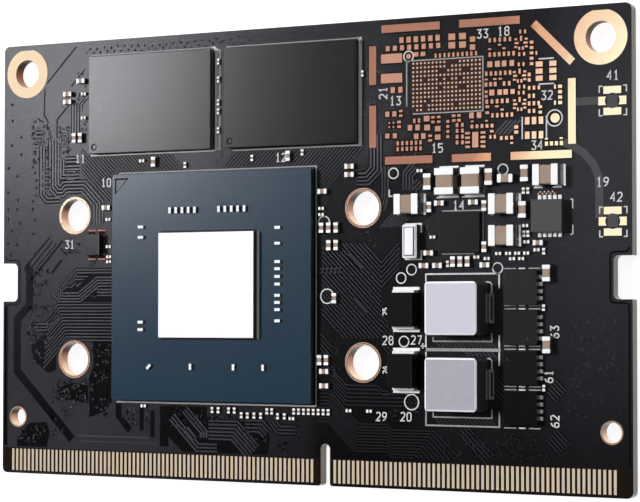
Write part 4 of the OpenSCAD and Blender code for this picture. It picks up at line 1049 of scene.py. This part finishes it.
for digits, x, y, *turned in [
    ("11", -25.1, 10.3), ("12", -1.4, 9.6), ("10", -21.9, 7.7), ("13", 11.1, 14.6),
    ("21", 9.8, 15.4, True), ("33", 20.15, 20.5), ("18", 22.3, 20.6), ("15", 15.5, 9.9),
    ("14", 17.7, 4.4), ("31", -26.4, 1.4), ("41", 33.0, 15.9), ("19", 32.0, 6.2),
    ("42", 33.3, 4.8), ("32", 26.6, 14.4), ("34", 25.6, 9.8), ("28", 10.3, -8.35),
    ("27", 13.3, -8.3), ("29", 9.6, -15.65), ("20", 12.2, -15.6), ("63", 27.3, -7.5, True),
    ("61", 26.7, -11.6, True), ("62", 27.3, -15.7, True),
]:
    place_number(digits, x, y, *turned)
for digits, y in [("25", -5.6), ("26", -11.2)]:
    place_number(digits, 10.02, y, True, 0.48)


def printed_ink(dark, light):
    return mottled([dark] * 3, [light] * 3, (2.4, 4), (0.6, 0.15, 6.0, 2), (0.4, 0.000008, 12.0, 3))


piece("silk_screen", silk, [finish("white_ink", printed_ink(0.38, 0.66))], "solder_mask")
piece("silk_screen_thin", thin_silk, [finish("thin_ink", printed_ink(0.17, 0.34))], "solder_mask")

# Processor
# A square laminate package on solder balls, with the bare silicon die glued to its middle.
# The die's back is polished and coloured near white, a painted reflection of the light, and a bead of dark
# resin seals its foot.
def round_edges(bm, edges, radius, segments):
    bmesh.ops.bevel(bm, geom=edges, offset=radius, offset_type="OFFSET", segments=segments, profile=0.5,
                    affect="EDGES", material=-1, clamp_overlap=True)
    return bm


def softened(node, radius, segments=2):
    """A copy of a CAD node in millimetres with its sharp edges rounded."""
    bm = bmesh.new()
    bm.from_mesh(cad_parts[node].data)
    bmesh.ops.scale(bm, vec=(1000, 1000, 1000), verts=bm.verts)
    bmesh.ops.remove_doubles(bm, verts=bm.verts, dist=0.0005)
    bmesh.ops.dissolve_limit(bm, angle_limit=0.02, verts=bm.verts, edges=bm.edges)
    sharp = [edge for edge in bm.edges if edge.is_manifold and edge.calc_face_angle() > 0.5]
    return round_edges(bm, sharp, radius, segments)


def package_laminate(wire):
    spot = spot_in_mm(wire)
    cloud = noise(wire, spot, 0.2, 3)
    top = blend(wire, cloud, (0.005, 0.021, 0.038, 1), (0.008, 0.026, 0.044, 1))
    side = blend(wire, noise(wire, spot, 6.0, 3), (0.012, 0.016, 0.016, 1), (0.05, 0.06, 0.05, 1))
    return {
        "Base Color": blend(wire, facing_up(wire), side, top),
        "Roughness": 0.18 + 0.06 * noise(wire, spot, 3.0, 3),
        "Specular IOR Level": 1.0,
        "Normal": relief(wire, noise(wire, spot, 9.0, 3), 0.12, 0.000008),
    }


# The near-white base colour is a painted reflection of the light on the polished back.
def silicon_painted_reflection(wire):
    spot = spot_in_mm(wire)
    return {
        "Base Color": blend(wire, noise(wire, spot, 0.3, 2), (0.93, 0.94, 0.96, 1), (0.97, 0.97, 0.98, 1)),
        "Metallic": 0.18,
        "Roughness": 0.10 + 0.05 * noise(wire, spot, 0.8, 3),
        "Coat Weight": 1.0, "Coat Roughness": 0.03,
    }


def split_by_slope(bm, least, side=1):
    """Gives faces that look away from the board the first material, and the other faces the second."""
    bmesh.ops.recalc_face_normals(bm, faces=bm.faces)
    for face in bm.faces:
        face.material_index = 0 if face.normal.z * side > least else 1
    return bm


sawn_silicon = mottled((0.006, 0.006, 0.007), (0.02, 0.02, 0.022), (8.0, 3),
                       (0.45, 0.15, 6.0, 3), (0.4, 0.00001, 12.0, 3))
dark_resin = mottled((0.010, 0.012, 0.015), (0.022, 0.026, 0.030), (2.0, 3),
                     (0.28, 0.15, 4.0, 3), (0.5, 0.00002, 5.0, 3))
piece("processor_package", softened("processor_substrate", 0.04),
      [finish("package_laminate", package_laminate)], "substrate_laminate", "processor_substrate")
piece("silicon_die", split_by_slope(softened("processor_die", 0.025), 0.25),
      [finish("silicon_painted_reflection", silicon_painted_reflection), finish("sawn_silicon", sawn_silicon)],
      "die_silicon", "processor_die")
piece("die_resin", softened("die_underfill", 0.02, 1), [finish("dark_resin", dark_resin)], "mould_compound",
      "die_underfill")

package_low, package_high = box_of("processor_substrate")
marks = bmesh.new()
corner_x, corner_y = package_low.x + 0.42, package_high.y - 0.5
ribbon(marks, [(corner_x, corner_y - 1.5), (corner_x, corner_y), (corner_x + 1.5, corner_y)], 0.16,
       package_high.z - 0.01, package_high.z + 0.012)
ribbon(marks, [(corner_x, corner_y - 1.45), (corner_x + 1.45, corner_y)], 0.06,
       package_high.z - 0.01, package_high.z + 0.008)
piece("package_corner_mark", marks, [gap_finish], "substrate_laminate")


def squashed_balls(node):
    """One barrel for each solder ball of a grid, flat where it wets the two faces."""
    grid = bmesh.new()
    for low, high in islands(node):
        reach, tall = (high.x - low.x) / 2, high.z - low.z
        foot = math.sqrt(reach ** 2 - tall ** 2 / 4)
        ball = bmesh.new()
        bmesh.ops.create_cone(ball, cap_ends=True, segments=10, radius1=foot, radius2=foot, depth=tall)
        upright = [edge for edge in ball.edges if abs(edge.verts[0].co.z - edge.verts[1].co.z) > 0.01]
        bmesh.ops.subdivide_edges(ball, edges=upright, cuts=3)
        for vert in ball.verts:
            vert.co.xy = vert.co.xy.normalized() * math.sqrt(reach ** 2 - vert.co.z ** 2)
        stamp(grid, ball, Matrix.Translation((low + high) / 2))
    return grid


solder = mottled((0.80, 0.80, 0.79), (0.94, 0.94, 0.93), (1.5, 3),
                 (0.36, 0.16, 5.0, 3), (0.5, 0.00001, 8.0, 3), {"Metallic": 0.35})
solder_finish = finish("solder", solder)
for node in ("processor_ball_grid", "memory_ball_grid_left", "memory_ball_grid_right",
             "power_manager_ball_grid", "flash_ball_grid"):
    piece(node + "_solder", squashed_balls(node), [solder_finish], "solder_tin", node)

# Memory, power and flash chips
# Chips moulded in black epoxy, whose fine filler makes the top slightly grainy and satin.
# Saws or moulds leave their edges nearly sharp, and a round dimple marks the first contact.
def mould_compound(base, roughness, gloss=0.85):
    def recipe(wire):
        spot = spot_in_mm(wire)
        grain = noise(wire, spot, 16.0, 3)
        dark = (base * 0.8, base * 0.8, base * 0.82, 1)
        light = (base * 1.2, base * 1.2, base * 1.24, 1)
        return {
            "Base Color": blend(wire, grain, dark, light),
            "Roughness": roughness + 0.07 * noise(wire, spot, 5.0, 3),
            "Specular IOR Level": gloss,
            "Normal": relief(wire, grain, 0.15, 0.000006),
        }
    return recipe


memory_finish = finish("memory_mould", mould_compound(0.004, 0.155))
power_finish = finish("power_mould", mould_compound(0.004, 0.26))
memory_chips = ("memory_chip_left", "memory_chip_right")
for node in memory_chips:
    piece(node + "_body", softened(node, 0.03), [memory_finish], "mould_compound", node)
for node in ("power_manager_chip", "flash_chip"):
    piece(node + "_body", softened(node, 0.035), [power_finish], "mould_compound", node)
for i, (base, gloss) in enumerate([(0.011, 0.85), (0.007, 0.85), (0.003, 0.6), (0.002, 0.4)]):
    node = "transistor_%d" % (i + 1)
    body_finish = finish(node + "_mould", mould_compound(base, 0.26, gloss))
    piece(node + "_body", softened(node, 0.035), [body_finish], "mould_compound", node)
piece("regulator_body", softened("regulator_chip", 0.035),
      [finish("regulator_mould", mould_compound(0.05, 0.3))], "mould_compound", "regulator_chip")
dimples = bmesh.new()
for node in memory_chips:
    low, high = box_of(node)
    middle = low.xy + Vector((0.65, 0.65))
    ribbon(dimples, ring(middle.x, middle.y, 0.3, 24), 0.1, high.z - 0.06, high.z + 0.004, closed=True)
piece("memory_dimple_rims", dimples, [gap_finish], "mould_compound")
for node in ("regulator_pins", "transistor_pins"):
    piece(node + "_tinned", softened(node, 0.03), [solder_finish], "solder_tin", node)

pins_low, pins_high = box_of("regulator_pins")
dots = bmesh.new()
for i in range(9):
    dot = bmesh.new()
    bmesh.ops.create_cone(dot, cap_ends=True, segments=10, radius1=0.08, radius2=0.08, depth=0.03)
    row = pins_high.y + (0.32 if i % 2 else 0.14)
    stamp(dots, dot, Matrix.Translation((pins_low.x + 0.2 * i, row, top_z + 0.011)))
piece("regulator_test_lands", dots, [grid_copper], "bare_copper")

# Power inductors
# A coil pressed into a block of metal powder, with a pale baked coat on its top.
# Flat tinned leads come out at two sides and fold under, to be soldered to the board.
between_inductors = -9.0


def pale_coat(wire):
    spot = spot_in_mm(wire)
    cloud = noise(wire, spot, 1.2, 5)
    lower = blend(wire, cloud, (0.305, 0.305, 0.345, 1), (0.36, 0.36, 0.405, 1))
    upper = blend(wire, cloud, (0.475, 0.475, 0.54, 1), (0.54, 0.54, 0.605, 1))
    return {
        "Base Color": blend(wire, coordinate(wire, spot, 1) > between_inductors, lower, upper),
        "Metallic": 0.1,
        "Roughness": 0.42 + 0.14 * noise(wire, spot, 6.0, 4),
        "Normal": relief(wire, noise(wire, spot, 11.0, 4), 0.4, 0.00001),
    }


powder_side = mottled((0.008, 0.008, 0.009), (0.03, 0.03, 0.032), (7.0, 4),
                      (0.5, 0.15, 5.0, 3), (0.5, 0.00002, 12.0, 4))
coat_finish = finish("pale_coat", pale_coat)
powder_and_shade_finish = finish("pressed_powder_and_shade", powder_side)
# The chamfer round the top takes a pale painted highlight.
painted_rim_highlight = mottled((0.82, 0.82, 0.86), (0.92, 0.92, 0.95), (1.2, 4),
                     (0.36, 0.14, 6.0, 4), (0.3, 0.00001, 11.0, 4))
rim_highlight_finish = finish("painted_rim_highlight", painted_rim_highlight)
for node in ("inductor_upper", "inductor_lower"):
    bm = split_by_slope(softened(node, 0.09, 3), 0.25)
    for face in bm.faces:
        if 0.25 < face.normal.z < 0.97:
            face.material_index = 2
    piece(node + "_core", bm, [coat_finish, powder_and_shade_finish, rim_highlight_finish], "powder_core", node)
dull_tin = mottled((0.12, 0.12, 0.125), (0.20, 0.20, 0.21), (2.5, 4),
                   (0.42, 0.16, 6.0, 3), (0.4, 0.00001, 9.0, 3), {"Metallic": 0.3})
dull_finish = finish("dull_tin", dull_tin)
for node in ("inductor_leads_upper", "inductor_leads_lower"):
    piece(node + "_tinned", softened(node, 0.025), [dull_finish], "solder_tin", node)

# Moulded bulk capacitors
# Black epoxy blocks with drafted sides, on tinned strips that leave both ends and fold down.
# Solder makes the feet of the strips bright.
black_finish = finish("black_mould", mould_compound(0.002, 0.34, 0.3))
for node in ("bulk_capacitor_upper", "bulk_capacitor_lower"):
    piece(node + "_body", softened(node, 0.07, 3), [black_finish], "mould_compound", node)
for node in ("bulk_capacitor_leads_upper", "bulk_capacitor_leads_lower"):
    piece(node + "_tinned", softened(node, 0.025), [solder_finish], "solder_tin", node)

# Crystals
# A small dark oscillator can, and a tuning crystal with a plated lid welded on a white ceramic base.
# Both stand on pads that show beyond their ends.
white_ceramic = mottled((0.70, 0.70, 0.72), (0.80, 0.80, 0.81), (3.0, 4),
                        (0.4, 0.15, 5.0, 3), (0.4, 0.000008, 12.0, 3))
plated_lid = mottled((0.84, 0.84, 0.86), (0.94, 0.94, 0.95), (2.0, 4),
                     (0.38, 0.12, 6.0, 3), (0.3, 0.000008, 9.0, 3), {"Metallic": 0.3})
piece("oscillator_body", softened("oscillator_can", 0.06, 3), [memory_finish], "mould_compound",
      "oscillator_can")
# The white base's walls take the dark powder finish as painted shade.
piece("crystal_base_body", split_by_slope(softened("crystal_base", 0.05, 3), 0.25),
      [finish("white_ceramic", white_ceramic), powder_and_shade_finish], "crystal_ceramic", "crystal_base")
piece("crystal_lid_plated", softened("crystal_lid", 0.05, 3), [finish("plated_lid", plated_lid)],
      "crystal_metal", "crystal_lid")
piece("crystal_pads_tinned", softened("crystal_pads", 0.012), [solder_finish], "solder_tin", "crystal_pads")

lid_low, lid_high = box_of("crystal_lid")
# The dark ring on the lid stands for the groove round its panel. It is raised, and its darkness is painted
# shade.
groove = bmesh.new()
ribbon(groove, [(lid_low.x + 0.17, lid_low.y + 0.17), (lid_high.x - 0.17, lid_low.y + 0.17),
                (lid_high.x - 0.17, lid_high.y - 0.17), (lid_low.x + 0.17, lid_high.y - 0.17)], 0.08,
       lid_low.z + 0.02, lid_high.z + 0.004, closed=True)
piece("crystal_lid_groove", groove, [powder_and_shade_finish], "crystal_metal")
# Dark strips over the pads next to the can are painted shade.
painted_pad_shade = bmesh.new()
for low, high in islands("oscillator_pads"):
    inner = low.y + 0.32 if high.y > box_of("oscillator_can")[1].y else high.y - 0.32
    ribbon(painted_pad_shade, [(low.x + 0.02, inner), (high.x - 0.02, inner)], 0.36, low.z, high.z + 0.006)
piece("oscillator_pad_shade", painted_pad_shade, [gap_finish], "bare_copper")

# Chip capacitors and resistors
# Fired tan ceramic blocks whose ends are dipped in silver and tinned, in four sizes.
# A wedge of solder climbs each end from its land and holds the part to the board.
def rounded_box(wide, long, tall, radius, segments):
    bm = bmesh.new()
    bmesh.ops.create_cube(bm, size=1)
    bmesh.ops.scale(bm, vec=(wide, long, tall), verts=bm.verts)
    return round_edges(bm, bm.edges[:], radius, segments)


wedge_from = 0.6
foot_from = 1.2


def chip_parts(kind, name, ceramic, end_share, under=False, segments=2):
    """Replaces the bodies and ends of one size of chip parts."""
    boxes = islands(kind + "_bodies")
    straight = next((high - low for low, high in boxes if abs((high - low).x - (high - low).y) > 0.05))
    plating = min(straight.x, straight.y) / 18
    wide = min(straight.x, straight.y) + 2 * plating
    long = max(straight.x, straight.y) + 2 * plating
    tall = straight.z + 2 * plating
    end = end_share * long
    toe = long / 2 + 0.05 + 0.04 * wide
    bodies = bmesh.new()
    ends = bmesh.new()
    for low, high in boxes:
        size = high - low
        turn = 0 if size.x > size.y + 0.05 else 90 if size.y > size.x + 0.05 else 45
        middle = (low + high) / 2
        place = Matrix.Translation(middle) @ Matrix.Rotation(math.radians(turn), 4, "Z")
        if under:
            place = place @ Matrix.Rotation(math.pi, 4, "X")
        body = rounded_box(long - 2 * plating, wide - 2 * plating, tall - 2 * plating, 0.05 * wide, 1)
        stamp(bodies, body, place)
        for side in (-1, 1):
            shift = Matrix.Translation((side * (long - end) / 2, 0, 0))
            stamp(ends, rounded_box(end, wide, tall, min(0.07, 0.08 * wide), segments), place @ shift)
            if wide < wedge_from:
                continue
            wedge = bmesh.new()
            bmesh.ops.create_cube(wedge, size=1)
            for vert in wedge.verts:
                outer = vert.co.x * side > 0
                if vert.co.z < 0:
                    vert.co.x = side * toe if outer else side * (long / 2 - end)
                    vert.co.y = math.copysign(0.52 * wide, vert.co.y)
                    vert.co.z = -tall / 2
                else:
                    vert.co.x = side * (long / 2 - 0.02 * wide) if outer else side * (long / 2 - 0.8 * end)
                    vert.co.y = math.copysign(0.47 * wide, vert.co.y)
                    vert.co.z = -0.1 * tall
            stamp(ends, wedge, place)
            if wide < foot_from:
                continue
            foot = bmesh.new()
            bmesh.ops.create_cube(foot, size=1)
            height = 0.03 + 0.05 * wide
            for vert in foot.verts:
                outer = toe if vert.co.z > 0 else toe + height
                vert.co.y = math.copysign(0.51 * wide, vert.co.y)
                vert.co.z = height - tall / 2 if vert.co.z > 0 else -tall / 2
                vert.co.x = side * (outer if vert.co.x * side > 0 else long / 2 - end)
            stamp(ends, foot, place)
    side = -1 if under else 1
    # Painted light and shade: the tin of the ends is split into a pale copy on top and a darker copy on the
    # walls, and the smaller parts' end and body walls take the near-black powder finish as painted shade.
    end_wall_shade = shaded_wall_finish if wide > foot_from else powder_and_shade_finish
    body_wall = ceramic if wide > foot_from else powder_and_shade_finish
    piece(name + "_ceramic", split_by_slope(bodies, 0.35, side), [ceramic, body_wall],
          "capacitor_ceramic", kind + "_bodies")
    piece(name + "_tinned_ends", split_by_slope(ends, 0.35, side), [end_finish, end_wall_shade], "solder_tin",
          kind + "_ends")


fired_ceramic = mottled((0.235, 0.170, 0.127), (0.305, 0.227, 0.175), (1.4, 4),
                        (0.42, 0.15, 6.0, 3), (0.4, 0.000008, 14.0, 3))
tinned_end = mottled((0.88, 0.88, 0.88), (0.97, 0.97, 0.97), (2.0, 3),
                     (0.30, 0.14, 5.0, 3), (0.5, 0.00001, 9.0, 3), {"Metallic": 0.3})
shaded_tin_wall = mottled((0.42, 0.42, 0.43), (0.58, 0.58, 0.59), (2.0, 3),
                      (0.20, 0.12, 5.0, 3), (0.5, 0.00001, 9.0, 3), {"Metallic": 1.0})
ceramic_finish = finish("fired_ceramic", fired_ceramic)
shaded_wall_finish = finish("shaded_tin_wall", shaded_tin_wall)
end_finish = finish("tinned_end", tinned_end)
pale_finish = finish("pale_ceramic", white_ceramic)
chip_parts("large_capacitor", "large_capacitors", ceramic_finish, 0.27, segments=3)
chip_parts("medium_capacitor", "medium_capacitors", ceramic_finish, 0.27)
chip_parts("small_capacitor", "small_capacitors", ceramic_finish, 0.31)
chip_parts("tiny_part", "tiny_parts", ceramic_finish, 0.34, segments=1)
chip_parts("processor_capacitor", "package_capacitors", pale_finish, 0.30, segments=1)
chip_parts("underside_capacitor", "underside_capacitors", ceramic_finish, 0.28, under=True)
